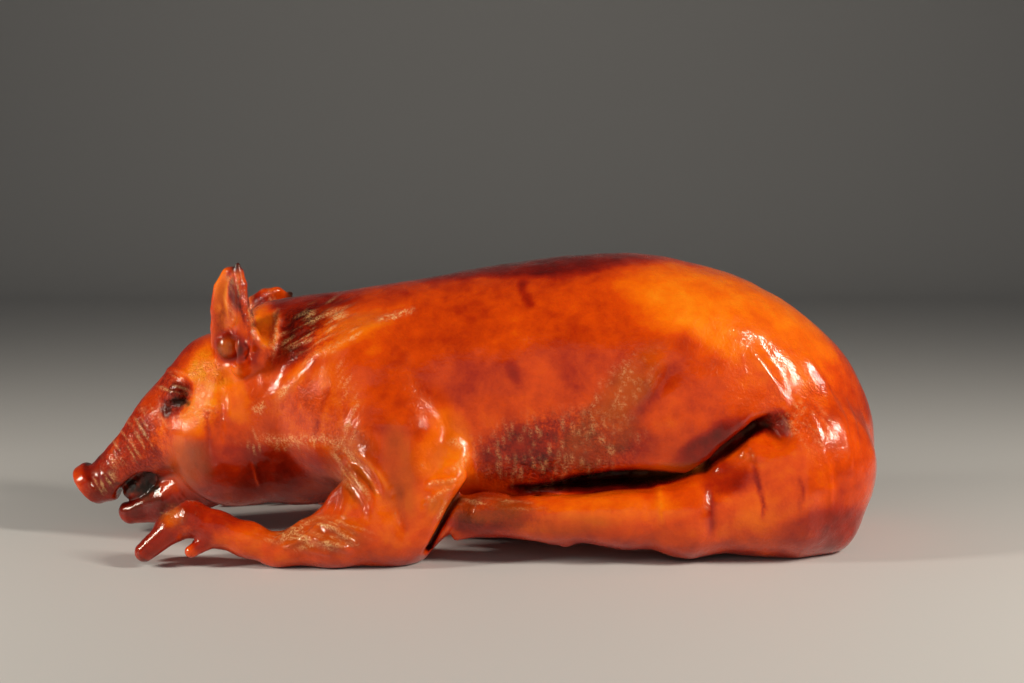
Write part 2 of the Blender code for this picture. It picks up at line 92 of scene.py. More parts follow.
def ellipsoid(p, centre, radii, lean=0.0):
    """An ellipsoid whose x and z radii are turned by lean degrees, nose down if positive."""
    c, s = math.cos(math.radians(lean)), math.sin(math.radians(lean))
    x, y, z = p[0] - centre[0], p[1] - centre[1], p[2] - centre[2]
    x, z = c * x + s * z, c * z - s * x
    rx, ry, rz = radii
    near = np.sqrt((x / rx) ** 2 + (y / ry) ** 2 + (z / rz) ** 2)
    slope = np.sqrt((x / rx**2) ** 2 + (y / ry**2) ** 2 + (z / rz**2) ** 2)
    return near * (near - 1.0) / np.maximum(slope, 1e-6)


def tapered(p, start, end, r_start, r_end):
    """A rod from start to end whose radius runs from r_start to r_end, with round ends."""
    start, end = np.asarray(start, float), np.asarray(end, float)
    along = end - start
    px, py, pz = p[0] - start[0], p[1] - start[1], p[2] - start[2]
    t = (px * along[0] + py * along[1] + pz * along[2]) / (along @ along)
    t = np.clip(t, 0.0, 1.0)
    off = (px - t * along[0]) ** 2 + (py - t * along[1]) ** 2 + (pz - t * along[2]) ** 2
    return np.sqrt(off) - (r_start + t * (r_end - r_start))


def limb(p, joints, k):
    """Rods through joints, each (x, y, z, radius), blended over k."""
    d = None
    for a, b in zip(joints, joints[1:]):
        rod = tapered(p, a[:3], b[:3], a[3], b[3])
        d = rod if d is None else blend(d, rod, k)
    return d


def smooth_curve(stations, column):
    """The curve through one column of the stations, as a function of x and its slope."""
    xs = np.array([s[0] for s in stations], float)
    ys = np.array([s[column] for s in stations], float)
    slopes = np.gradient(ys, xs)

    def value(x):
        i = np.clip(np.searchsorted(xs, x) - 1, 0, len(xs) - 2)
        width = xs[i + 1] - xs[i]
        t = np.clip((x - xs[i]) / width, 0.0, 1.0)
        a, b = ys[i], ys[i + 1]
        ta, tb = slopes[i] * width, slopes[i + 1] * width
        return (
            a * (1 + 2 * t) * (1 - t) ** 2
            + ta * t * (1 - t) ** 2
            + b * t * t * (3 - 2 * t)
            + tb * t * t * (t - 1)
        )

    return value


TORSO_MIDDLE = smooth_curve(TORSO_STATIONS, 1)
TORSO_HALF_HEIGHT = smooth_curve(TORSO_STATIONS, 2)
TORSO_HALF_WIDTH = smooth_curve(TORSO_STATIONS, 3)


def torso(p):
    """The barrel of the body, closed at both ends by its power of x."""
    x, y, z = p
    centre = (TORSO_START + TORSO_END) / 2
    half = (TORSO_END - TORSO_START) / 2
    step = 0.5

    def section(x):
        return TORSO_MIDDLE(x), TORSO_HALF_HEIGHT(x), TORSO_HALF_WIDTH(x)

    c, h, w = section(x)
    t = np.abs(x - centre) / half
    a, b = y / w, (z - c) / h
    size = np.sqrt(a * a + b * b + t**TORSO_POWER)
    c2, h2, w2 = section(x + step)
    t2 = np.abs(x + step - centre) / half
    size_on = np.sqrt((y / w2) ** 2 + ((z - c2) / h2) ** 2 + t2**TORSO_POWER)
    slope_x = (size_on - size) / step
    safe = np.maximum(size, 0.3)
    slope = np.sqrt(slope_x**2 + (a / (w * safe)) ** 2 + (b / (h * safe)) ** 2)
    return (size - 1.0) / np.maximum(slope, 0.004)


# Parts of the pig


def head(p):
    """Skull, jowls, muzzle, snout and lower jaw, with the mouth open between them."""
    x, y, z = p
    side = (x, np.abs(y), z)
    d = ellipsoid(p, (-146, 0, 95), (36, 36, 34))
    d = blend(d, ellipsoid(p, (-128, 0, 115), (21, 25, 27)), 10)
    d = blend(d, tapered(p, (-188, 0, 73.5), (-162, 0, 101), 20.5, 22.5), 9)
    d = blend(d, ellipsoid(side, (-146, 19, 58), (40, 27, 37)), 14)
    muzzle = limb(p, ((-161, 0, 82, 34), (-195, 0, 60, 22.5), (-231, 0, 34, 14)), 8)
    d = blend(d, muzzle, 12)
    d = blend(d, tapered(side, (-176, 24, 68), (-152, 30, 74), 9, 12), 12)
    jaw = limb(p, ((-160, 0, 43, 24), (-190, 0, 22, 14.5), (-217, 0, 13, 8)), 8)
    d = blend(d, jaw, 4)
    d = carve(d, ellipsoid(p, (-211, 0, 31), (16, 40, 7), 37), 2.5)
    d = blend(d, ellipsoid(p, (-207.5, 0, 33), (16.5, 8.5, 9), 37), 2.5)
    return blend(d, snout(p), 3)


def snout(p):
    """The flat nose disc, with its rim and two nostrils."""
    centre = np.array((-241.0, 0.0, 31.5))
    facing = unit((-0.81, 0.0, -0.58))
    up = unit((-0.58, 0.0, 0.81))
    q = [p[i] - centre[i] for i in range(3)]
    out = q[0] * facing[0] + q[2] * facing[2]
    rise = q[0] * up[0] + q[2] * up[2]
    ring = np.sqrt((rise / 0.95) ** 2 + (p[1] / 1.08) ** 2)
    d = np.maximum(ring - 11.5, np.abs(out) - 2.0)
    edge = np.maximum(ring - 11.5, 0.0) ** 2 + np.maximum(np.abs(out) - 2.0, 0.0) ** 2
    d = np.where(d > 0, np.sqrt(edge), d) - 3.0
    hole = np.sqrt((rise / 1.4) ** 2 + (np.abs(p[1]) - 5.2) ** 2)
    pit = np.maximum(hole - 2.6, -(out + 1.5))
    return carve(d, pit, 2.0)


def eyes(p, d):
    """Sunken sockets with a shrunken, closed lid in each."""
    side = (p[0], np.abs(p[1]), p[2])
    d = carve(d, ellipsoid(side, (-181, 36, 93), (12.5, 14, 10.5), 40), 4)
    d = blend(d, ellipsoid(side, (-180.5, 22.5, 92), (9, 6.5, 6), 30), 3)
    return carve(d, tapered(side, (-188, 31, 87), (-173, 31.5, 94), 1.8, 1.8), 2)


def ear(p, base, tip, facing, half_width, rear):
    """A cupped, pointed leaf from base to tip that opens towards facing, with a rolled edge.

    The roll runs from the tip down the rear edge and round under the pit at the root. rear is
    the sign of the rear edge's direction across the ear.
    """
    base, tip = np.asarray(base, float), np.asarray(tip, float)
    length = np.linalg.norm(tip - base)
    up = unit(tip - base)
    out = unit(np.asarray(facing, float) - (np.asarray(facing, float) @ up) * up)
    across = np.cross(up, out) * rear
    q = [p[i] - base[i] for i in range(3)]
    rise = sum(q[i] * up[i] for i in range(3))
    wide = sum(q[i] * across[i] for i in range(3))
    deep = sum(q[i] * out[i] for i in range(3))

    reach = np.where(rise > 0, length, 0.55 * length)
    near = np.sqrt((wide / half_width) ** 2 + np.abs(rise / reach) ** EAR_POINT)
    slope_up = 0.5 * EAR_POINT * np.abs(rise / reach) ** (EAR_POINT - 1) / reach
    slope = np.sqrt((wide / half_width**2) ** 2 + slope_up**2)
    outline = near * (near - 1.0) / np.maximum(slope, 0.02)
    bowl = EAR_CUP * (wide / half_width) ** 2 - 0.35 * EAR_CUP
    tilt = np.sqrt(1.0 + (2.0 * EAR_CUP * wide / half_width**2) ** 2)
    sheet = np.abs(deep - bowl) / tilt - EAR_THICKNESS
    d = -blend(-outline, -sheet, 2.5)

    for roll in (EAR_REAR_ROLL, EAR_FRONT_ROLL):
        path = []
        for w, r, radius in roll:
            lift = EAR_CUP * (w * w - 0.35) + EAR_ROOT_LIFT * max(-r, 0.0)
            spot = base + across * w * half_width + up * r * length + out * lift
            path.append((*spot, radius))
        d = blend(d, limb(p, path, 2), 3)
    pit = base - up * 0.27 * length + out * 4.0
    pit_axes = [sum((p[i] - pit[i]) * axis[i] for i in range(3)) for axis in (across, out, up)]
    hollow = ellipsoid(pit_axes, (1, 4, 0), (12.5, 8.5, 9))
    return d, hollow, ellipsoid(pit_axes, (-4.5, -2.5, -0.5), (8, 7, 8.5))


EAR_POINT = 2.9
EAR_CUP, EAR_THICKNESS = 6.0, 2.2
EAR_ROOT_LIFT = 9.0
# Rolled edges: shares of the ear's half width and length, and the roll's radius.
EAR_REAR_ROLL = (
    (0.32, 1.07, 1.6),
    (0.36, 0.95, 2.4),
    (0.56, 0.78, 3.2),
    (0.76, 0.52, 3.9),
    (0.92, 0.22, 4.3),
    (1.12, -0.1, 4.4),
    (1.02, -0.32, 4.4),
    (0.6, -0.47, 4.2),
    (0.0, -0.5, 3.6),
    (-0.55, -0.42, 3.2),
)
EAR_FRONT_ROLL = (
    (0.2, 0.97, 2.0),
    (-0.35, 0.9, 2.3),
    (-0.75, 0.66, 2.5),
    (-0.92, 0.3, 2.7),
    (-0.94, 0.0, 3.1),
    (-0.86, -0.28, 3.1),
)


# A roll of skin behind each ear's root: x, y, z and radius.
EAR_FOLD = (
    (-139, 41, 132, 3.6),
    (-132, 38, 129.5, 4.4),
    (-127, 37.5, 121, 4.8),
    (-129.5, 39, 112.5, 4.6),
    (-138, 41, 107.5, 4),
)


def ears(p, d):
    """The near ear stands up and the far one lies back; each has a pit at its root."""
    d = blend(d, limb((p[0], np.abs(p[1]), p[2]), EAR_FOLD, 2), 3)
    near = ear(p, (-142, -38, 131), (-141.5, -48, 168.5), (-0.62, -0.78, 0.1), 13.5, 1)
    far = ear(p, (-141, 38, 127), (-127, 49, 149), (-0.45, 0.75, 0.5), 15, -1)
    for leaf, hollow, lump in (near, far):
        d = blend(d, leaf, 5)
        d = carve(d, hollow, 3)
        d = blend(d, lump, 3)
    return d


def foreleg(p, side, back, lift):
    """Shoulder, upper arm, forearm laid forward, bent pastern and two toes."""
    y = p[1] * side
    q = (p[0] - back, y, p[2] - lift)
    d = ellipsoid(q, (-60, 36, 86), (54, 36, 52))
    d = blend(d, limb(q, ((-44, 54, 66, 32), (-46, 76, 24, 19)), 10), 16)
    d = blend(d, limb(q, ((-14, 63, 57, 14), (-45, 78, 19, 17)), 10), 10)
    forearm = limb(q, ((-44, 80, 18, 17), (-78, 84, 14, 14), (-110, 84, 9, 9.5)), 8)
    d = blend(d, forearm, 8)
    d = blend(d, ellipsoid(q, (-52, 74, 24), (36, 16, 29)), 8)
    d = blend(d, tapered(q, (-67, 77, 28.5), (-104, 83, 11.5), 12.5, 8), 6)
    d = blend(d, tapered(q, (-9, 77, 50), (-31, 83, 19), 7, 11.5), 5)
    foot = ((-110, 84, 8.5, 9.5), (-128, 84, 15.5, 9), (-146, 83, 21.5, 9.3), (-160, 82, 27, 9.8))
    d = blend(d, limb(q, foot, 6), 4)
    d = blend(d, limb(q, ((-160, 82, 27.5, 9.8), (-172.5, 81, 21.5, 9.2)), 3), 3)
    for toe in (-5.5, 5.5):
        claw = limb(q, ((-172, 81 + toe, 21, 7.2), (-186, 81 + toe * 1.2, 9, 6)), 3)
        d = blend(d, claw, 3)
        dew = tapered(q, (-152, 82 + toe, 14), (-159, 82 + toe * 1.5, 10), 4.2, 3.4)
        d = blend(d, dew, 3)
    return d


def hind_leg(p, side, back, lift):
    """Ham, leg laid forward along the belly, hock and two toes."""
    y = p[1] * side
    q = (p[0] - back, y, p[2] - lift)
    d = ellipsoid(q, (186, 42, 49), (54.5, 46, 52))
    d = blend(d, tapered(q, (210, 14, 17.5), (209, 48, 17.5), 18.5, 18.5), 12)
    leg = ((180, 56, 35, 37), (125, 71, 25, 20.5), (88, 75, 26.5, 15.5), (48, 77, 26.5, 14.5))
    d = blend(d, limb(q, leg, 12), 12)
    shank = limb(q, ((36, 77, 27, 14), (8, 73, 27.5, 11.6), (-18, 70, 26, 10.5)), 6)
    d = blend(d, shank, 3)
    d = blend(d, tapered(q, (46, 77, 20), (54, 77, 15), 8, 5.5), 5)
    for toe in (-6, 6):
        claw = limb(q, ((-16, 70 + toe, 25, 7.5), (-36, 69 + toe * 1.1, 16, 5.5)), 3)
        d = blend(d, claw, 2)
        dew = tapered(q, (2, 72 + toe, 20), (-8, 71 + toe * 1.2, 17), 4.2, 3.2)
        d = blend(d, dew, 2)
    return d


def crease(p, side, path):
    """A slit that runs in from the side along path, each point (x, z, half gap, depth in y)."""
    x, z = p[0], p[2]
    y = p[1] * side
    d = None
    for (xa, za, ga, ya), (xb, zb, gb, yb) in zip(path, path[1:]):
        dx, dz = xb - xa, zb - za
        t = np.clip(((x - xa) * dx + (z - za) * dz) / (dx * dx + dz * dz), 0.0, 1.0)
        flat = np.sqrt((x - xa - t * dx) ** 2 + (z - za - t * dz) ** 2)
        cut = np.maximum(flat - (ga + t * (gb - ga)), (ya + t * (yb - ya)) - y)
        d = cut if d is None else np.minimum(d, cut)
    return d


GROIN = ((177, 85, 0.5, 76), (163, 78, 3.2, 64), (146, 65, 3.5, 60), (134, 55, 1.6, 62))
GROIN_TO_BELLY = (
    (134, 55, 1.6, 62),
    (124, 50, 1.4, 60),
    (114, 48.5, 3.0, 50),
    (102, 47.8, 4.2, 42),
    (90, 47.2, 4.8, 38),
    (73, 45.6, 4.5, 38),
    (60, 44, 3.2, 44),
    (45, 41.8, 1.0, 56),
    (24, 39.8, 0.5, 64),
)
GROIN_POCKET = ((171, 80, 77), (9, 9, 7), -30)
# Where the arm's rear edge lies over the hind foot.
ELBOW = (
    (9, 61, 0.4, 82),
    (-3, 46, 1.2, 76),
    (-12, 33, 1.7, 72),
    (-18, 22, 1.7, 70),
    (-25, 9, 1.4, 70),
)


def tail(p):
    """A short tail that hangs down on the far side of the rump and curls at its end."""
    root = ((231, 16, 98, 8), (240, 24, 88, 5.6), (244, 31, 76, 4.8))
    end = ((244, 31, 76, 4.8), (242, 38, 63, 4.4), (241, 46, 57, 3.8), (240, 52, 63, 3.2))
    return blend(limb(p, root, 4), limb(p, end, 3), 1)


# Folds of the skin on both sides, from a distance of FOLD_DEPTH off the middle plane: height,
# width and then the path, as x and z. A negative height is a groove.
FOLD_DEPTH = 20.0
NECK_FOLDS = (
    (2.2, 6.0, ((-128, 84), (-114, 94), (-92, 120), (-80, 124), (-71, 130), (-51, 138), (-35, 144))),
    (1.3, 2.6, ((-116, 146), (-119, 132), (-120, 123), (-122, 113))),
    (-2.2, 5.5, ((-111, 141), (-113, 127), (-117, 112))),
    (1.4, 4.5, ((-159, 119), (-154, 107), (-155, 90), (-160, 71))),
    (1.3, 4.0, ((-149, 102), (-145, 90), (-141, 75))),
    (-1.2, 3.2, ((-152, 98), (-150, 80), (-151, 60))),
    (1.4, 7.0, ((-131, 67), (-105, 66), (-73, 70))),
)
ARM_FOLDS = (
    (2.2, 3.6, ((-68, 67), (-60, 62), (-53, 55), (-49, 48), (-46, 38))),
    (-1.2, 2.8, ((-71, 62), (-63, 57), (-57, 50), (-53, 40))),
    (2.0, 3.4, ((-75, 58), (-67, 53), (-61, 46), (-57, 38), (-54, 28))),
    (1.8, 3.2, ((-72, 50), (-73, 44), (-72, 39), (-74, 32), (-77, 27), (-84, 22))),
    (1.3, 4.0, ((-17, 70), (-11, 71.5), (-5, 68), (-4, 63), (-7, 58), (-12, 56), (-18, 53))),
    (1.8, 3.2, ((-26, 39), (-21, 46.5), (-15, 49), (-6, 50.5))),
    (1.4, 3.0, ((-29, 29), (-24, 36), (-18, 40), (-11, 43))),
    (1.2, 3.0, ((-92, 20), (-84, 18), (-75, 15), (-65, 10))),
    (-2.4, 6.0, ((-41, 50), (-39, 36), (-37, 23), (-38, 13))),
)
REAR_FOLDS = (
    (-2.0, 5.0, ((119, 119), (110, 104), (102, 92), (91, 79))),
    (1.5, 5.0, ((110, 123), (103, 109), (95, 94), (85, 80))),
    (1.2, 3.6, ((159, 127), (168, 114), (177, 101), (186, 87))),
    (-0.9, 3.4, ((165, 131), (174, 118), (183, 105), (192, 90))),
    (1.2, 3.6, ((182, 107), (190, 96), (197, 83), (202, 68))),
    (0.9, 3.4, ((193, 122), (205, 105), (213, 86), (217, 70))),
    (1.1, 3.2, ((108, 49), (109, 36), (111, 18))),
    (-1.4, 3.4, ((139, 50), (137, 36), (137, 14))),
    (-1.0, 2.6, ((38, 42), (37, 30), (38, 14))),
)


def ridge(x, z, path, width):
    """1 on a path of x and z, less by a bell curve over width and towards the path's ends."""
    spots = np.array(path, float)
    steps = np.linalg.norm(np.diff(spots, axis=0), axis=1)
    gap = np.full(np.shape(x), np.inf)
    passed = np.zeros(np.shape(x))
    for (xa, za), (xb, zb), step, start in zip(spots, spots[1:], steps, np.cumsum(steps) - steps):
        t = np.clip(((x - xa) * (xb - xa) + (z - za) * (zb - za)) / step**2, 0.0, 1.0)
        here = np.hypot(x - xa - t * (xb - xa), z - za - t * (zb - za))
        passed = np.where(here < gap, start + t * step, passed)
        gap = np.minimum(gap, here)
    share = passed / steps.sum()
    ends = np.clip(4 * np.minimum(share, 1 - share), 0.0, 1.0)
    return np.exp(-((gap / width) ** 2)) * ends * ends * (3 - 2 * ends)


def fold_height(p):
    """How far the folds raise the skin, in millimetres."""
    x, y, z = p
    height = np.zeros(np.shape(x))
    for rise, width, path in NECK_FOLDS + ARM_FOLDS + REAR_FOLDS:
        low = np.min(path, axis=0) - 2.5 * width
        high = np.max(path, axis=0) + 2.5 * width
        near = (x > low[0]) & (x < high[0]) & (z > low[1]) & (z < high[1]) & (np.abs(y) > FOLD_DEPTH)
        height[near] += rise * ridge(x[near], z[near], path, width)
    return height


def pig(p):
    """Signed distance of the whole pig, in millimetres."""
    d = torso(p)
    d = blend(d, ellipsoid(p, (-108, 0, 83), (56, 50, 65)), 18)
    for side, back, lift in ((NEAR, 0.0, 0.0), (FAR, 7.0, -1.0)):
        q = (p[0], p[1] * side, p[2])
        d = blend(d, ellipsoid(q, (128, 52, 78), (44, 25, 30), -20), 14)
        d = blend(d, hind_leg(p, side, back, lift), 7)
        d = carve(d, crease(p, side, GROIN), 6)
        d = carve(d, crease(p, side, GROIN_TO_BELLY), 5)
        d = carve(d, ellipsoid(q, *GROIN_POCKET), 8)
        d = blend(d, foreleg(p, side, back, lift), 7)
        d = carve(d, crease((p[0] - back, p[1], p[2] - lift), side, ELBOW), 3)
    d = blend(d, head(p), 12)
    d = eyes(p, d)
    d = ears(p, d)
    d = carve(d, tapered(p, (262, 0, 78), (232, 0, -8), 5, 9), 12)
    d = blend(d, tail(p), 4) - fold_height(p)
    return -blend(-d, p[2], 2.0)


# Meshing

# Cell sizes at the head and at the rump, and where the size starts and stops growing.
HEAD_CELL, RUMP_CELL = 1.2, 2.05
FINE_END, COARSE_START = -120.0, 120.0
GRID_START, GRID_END = -262.0, 262.0
HALF_SPAN, HEIGHT = 112.0, 186.0
# Shares of a cell that keep the samples off the middle plane and the floor.
SHIFT_Y, SHIFT_Z = 0.37, 0.41
# Only blocks of BLOCK cells within BAND_MARGIN of the surface get exact values.
BLOCK, BAND_MARGIN = 4, 1.5
# Values of samples off the band and of samples that are filled in.
FAR_VALUE, FILLED_VALUE = 9.0, -0.05
# Limits of a step towards the surface: the slope's least square and the longest move.
LEAST_SLOPE2, LONGEST_STEP = 0.05, 0.7
CORNERS = np.array(list(np.ndindex(2, 2, 2)))


def smooth(low, high, x):
    """0 below low, 1 above high and an S-curve between them."""
    t = np.clip((x - low) / (high - low), 0.0, 1.0)
    return t * t * (3 - 2 * t)


def cell_size(x):
    return SCALE * (HEAD_CELL + (RUMP_CELL - HEAD_CELL) * smooth(FINE_END, COARSE_START, x))


def to_space(grid, xs, low):
    """Grid coordinates as a point in millimetres."""
    x = np.interp(grid[..., 0], np.arange(len(xs)), xs)
    size = cell_size(x)
    return x, (grid[..., 1] + low[1] + SHIFT_Y) * size, (grid[..., 2] + low[2] + SHIFT_Z) * size


def pinched_codes():
    """Which of a cell's 256 corner patterns make the surface touch itself."""
    faces = []
    for axis in range(3):
        for end in (0, 1):
            ring = [i for i, c in enumerate(CORNERS) if c[axis] == end]
            faces.append((ring[0], ring[3], ring[1], ring[2]))
    pinched = np.zeros(256, bool)
    for code in range(256):
        inside = [(code >> i) & 1 for i in range(8)]
        for a, b, c, d in faces:
            if inside[a] == inside[b] and inside[c] == inside[d] and inside[a] != inside[c]:
                pinched[code] = True
        for i in range(4):
            if sum(inside) in (2, 6) and inside[i] == inside[7 - i] == (sum(inside) == 2):
                pinched[code] = True
    return pinched


def band_values(xs, low, shape):
    """The field near the surface, and a rough value of the same sign elsewhere."""
    blocks = [math.ceil((n - 1) / BLOCK) for n in shape]
    coarse = np.stack(np.meshgrid(*[BLOCK * np.arange(n + 1.0) for n in blocks], indexing="ij"), -1)
    x, y, z = to_space(coarse, xs, low)
    far = pig((x, y, z))
    near = np.abs(far) < BLOCK * cell_size(x) + BAND_MARGIN
    active = np.zeros(blocks, bool)
    for a, b, c in CORNERS:
        active |= near[a : a + blocks[0], b : b + blocks[1], c : c + blocks[2]]
    values = np.where(far[:-1, :-1, :-1] < 0, -FAR_VALUE, FAR_VALUE)
    for axis in range(3):
        values = np.repeat(values, BLOCK, axis)
        active = np.repeat(active, BLOCK, axis)
        padding = [(0, 1) if axis == other else (0, 0) for other in range(3)]
        values = np.pad(values, padding, mode="edge")
        active = np.pad(active, padding)
        active |= np.roll(active, 1, axis)
    values = values[: shape[0], : shape[1], : shape[2]].copy()
    active = active[: shape[0], : shape[1], : shape[2]]
    spots = np.argwhere(active)
    values[tuple(spots.T)] = pig(to_space(spots.astype(float), xs, low))
    return values, spots


def fill_pinches(values, spots):
    """Fills samples in until the surface nowhere touches itself along an edge or at a point."""
    pinched = pinched_codes()
    cells = spots[np.all(spots < np.array(values.shape) - 1, axis=1)]
    while len(cells):
        corners = cells[:, None, :] + CORNERS[None]
        samples = values[corners[..., 0], corners[..., 1], corners[..., 2]]
        codes = ((samples < 0) << np.arange(8)).sum(1)
        bad = np.flatnonzero(pinched[codes])
        touched = []
        for n in bad:
            outside = np.where(samples[n] >= 0, samples[n], np.inf)
            spot = corners[n, int(np.argmin(outside))]
            values[tuple(spot)] = FILLED_VALUE
            touched.append(spot)
        if not touched:
            return
        touched = np.array(touched)
        around = (touched[:, None, :] - CORNERS[None]).reshape(-1, 3)
        fits = np.all((around >= 0) & (around < np.array(values.shape) - 1), axis=1)
        cells = np.unique(around[fits], axis=0)


def surface_net(values, spots):
    """Points in grid coordinates and quads of the surface where values change sign."""
    shape = np.array(values.shape)
    strides = np.array((shape[1] * shape[2], shape[2], 1))
    owners, places, rings = [], [], []
    for axis in range(3):
        step = np.eye(3, dtype=int)[axis]
        base = spots[spots[:, axis] < shape[axis] - 1]
        start = values[tuple(base.T)]
        end = values[tuple((base + step).T)]
        cut = (start < 0) != (end < 0)
        base, start, end = base[cut], start[cut], end[cut]
        place = base.astype(float)
        place[:, axis] += start / (start - end)
        ring = []
        b, c = np.eye(3, dtype=int)[(axis + 1) % 3], np.eye(3, dtype=int)[(axis + 2) % 3]
        for offset in (0 * b, b, b + c, c):
            cell = ((base - offset) * strides).sum(1)
            ring.append(cell)
            owners.append(cell)
            places.append(place)
        ring = np.stack(ring, axis=1)
        ring[start >= 0] = ring[start >= 0][:, ::-1]
        rings.append(ring)
    owners = np.concatenate(owners)
    places = np.concatenate(places)
    cells, number, count = np.unique(owners, return_inverse=True, return_counts=True)
    points = np.stack([np.bincount(number, places[:, i]) for i in range(3)], 1) / count[:, None]
    quads = np.searchsorted(cells, np.concatenate(rings))
    return points, quads


def onto_surface(points, steps, probe=0.3):
    """Moves points along the field's slope to where its distance is zero."""
    p = points.copy()
    for _ in range(steps):
        d = pig(p.T)
        ends = [(pig((p + step).T), pig((p - step).T)) for step in probe * np.eye(3)]
        slope = np.stack([after - before for after, before in ends], axis=1) / (2 * probe)
        length2 = np.maximum((slope**2).sum(1), LEAST_SLOPE2)
        p += np.clip(-(d / length2)[:, None] * slope, -LONGEST_STEP, LONGEST_STEP)
    return p


def pig_surface():
    """The pig's fine surface as points in millimetres and quads."""
    xs = [GRID_START]
    while xs[-1] < GRID_END:
        xs.append(xs[-1] + float(cell_size(xs[-1])))
    xs = np.array(xs)
    smallest = SCALE * HEAD_CELL
    across, up = math.ceil(HALF_SPAN / smallest), math.ceil(HEIGHT / smallest)
    low = (0, -across, -3)
    shape = (len(xs), 2 * across + 1, up + 4)
    values, spots = band_values(xs, low, shape)
    fill_pinches(values, spots)
    points, quads = surface_net(values, spots)
    points = np.stack(to_space(points, xs, low), axis=1)
    return onto_surface(points, 2), quads


def normals_of(points, quads):
    """Area-weighted point normals."""
    a, b, c, d = (points[quads[:, i]] for i in range(4))
    face = np.cross(c - a, d - b)
    normal = np.zeros_like(points)
    for i in range(4):
        for axis in range(3):
            normal[:, axis] += np.bincount(quads[:, i], face[:, axis], len(points))
    return normal / np.maximum(np.linalg.norm(normal, axis=1), 1e-12)[:, None]


# Noise

# Large numbers that mix the whole numbers of a lattice point and the seed into one.
HASH_X, HASH_Y, HASH_Z = 73856093, 19349663, 83492791
HASH_SEED, HASH_SPREAD, SEED_STEP = 2654435, 1274126177, 17.31
NOISE_GAIN = 1.4


def noise(p, size, seed):
    """Smooth gradient noise from about -1 to 1, with features of the given size."""
    q = np.asarray(p, float) / size + seed * SEED_STEP
    cell = np.floor(q).astype(np.int64)
    f = q - cell
    u = f * f * f * (f * (f * 6 - 15) + 10)
    total = 0.0
    for a, b, c in CORNERS:
        i, j, k = cell[:, 0] + a, cell[:, 1] + b, cell[:, 2] + c
        n = (i * HASH_X) ^ (j * HASH_Y) ^ (k * HASH_Z) ^ (seed * HASH_SEED)
        n = (n ^ (n >> 13)) * HASH_SPREAD
        n = n ^ (n >> 16)
        dot = 0.0
        for axis, corner in enumerate((a, b, c)):
            dot = dot + (((n >> (8 * axis)) & 255) / 127.5 - 1.0) * (f[:, axis] - corner)
        weight = 1.0
        for axis, corner in enumerate((a, b, c)):
            weight = weight * (u[:, axis] if corner else 1 - u[:, axis])
        total = total + weight * dot
    return NOISE_GAIN * total


def fractal(p, size, seed, octaves=3, gain=0.5):
    """Noise of several sizes, each half the one before."""
    total, weight = 0.0, 1.0
    for octave in range(octaves):
        total = total + weight * noise(p, size / 2**octave, seed + 7 * octave)
        weight *= gain
    return total


# Picture coordinates: where a point of the near side shows in a view 1024 pixels wide from
# CAMERA_DISTANCE in front of the middle plane. The far side repeats the near one.
CAMERA_DISTANCE, CAMERA_HEIGHT, CAMERA_X = 883.0, 207.0, 23.3
FOCAL, MIDDLE_COLUMN, MIDDLE_ROW, HORIZON_ROW = 1422.0, 512.0, 341.5, 203.0
# How much further back the far legs lie.
FAR_LEG_BACK = 7.0


def picture(p):
    """The column and row at which each point shows."""
    x, y, z = p.T
    far_leg = smooth(15, 40, y) * (1 - smooth(70, 95, z))
    pixel = (CAMERA_DISTANCE - np.abs(y)) / FOCAL
    u = MIDDLE_COLUMN + (x - FAR_LEG_BACK * far_leg - CAMERA_X) / pixel
    v = HORIZON_ROW + (CAMERA_HEIGHT - z) / pixel
    return u, v


def beside(u, v, path):
    """Signed distance in pixels to a path, positive to its left, and the share along it."""
    path = np.array(path, float)
    lengths = np.linalg.norm(np.diff(path, axis=0), axis=1)
    total = lengths.sum()
    best = np.full(u.shape, 1e9)
    side = np.ones(u.shape)
    share = np.zeros(u.shape)
    done = 0.0
    for (ua, va), (ub, vb), length in zip(path, path[1:], lengths):
        du, dv = (ub - ua) / length, (vb - va) / length
        t = np.clip((u - ua) * du + (v - va) * dv, 0, length)
        gap = np.hypot(u - ua - t * du, v - va - t * dv)
        closer = gap < best
        best = np.where(closer, gap, best)
        side = np.where(closer, np.sign(du * (va - v) - dv * (ua - u)), side)
        share = np.where(closer, (done + t) / total, share)
        done += length
    return best * side, share


def taper(share, end=0.22):
    """0 at both ends of a path and 1 between them."""
    return smooth(0.0, end, share) * smooth(0.0, end, 1.0 - share)


def fold(u, v, path, width):
    """A rounded lip along the path whose left side drops into a narrow groove."""
    gap, share = beside(u, v, path)
    lip = np.exp(-((gap / width) ** 2))
    groove = np.exp(-(((gap - 1.1 * width) / (0.6 * width)) ** 2))
    return (lip - 0.8 * groove) * taper(share)


def turned(u, v, lean):
    """u and v along axes that are turned by lean degrees."""
    c, s = math.cos(math.radians(lean)), math.sin(math.radians(lean))
    return c * u + s * v, c * v - s * u


def patch(u, v, row):
    """1 inside a leaning ellipse of middle, radii and lean, fading over its edge."""
    cu, cv, ru, rv, lean = row
    a, b = turned(u - cu, v - cv, lean)
    return 1 - smooth(0.55, 1.25, np.hypot(a / ru, b / rv))


def strongest(u, v, rows):
    """The largest share that any row, a strength and an ellipse, gives each point."""
    share = 0 * u
    for strength, row in rows:
        share = np.maximum(share, strength * patch(u, v, row))
    return share


# Paths that both relief and browning follow.
HAM_CREASE = ((757, 458), (757, 480), (761, 498), (766, 511), (766, 530))
JAW_SCAR = ((247, 458), (252, 474), (257, 492))

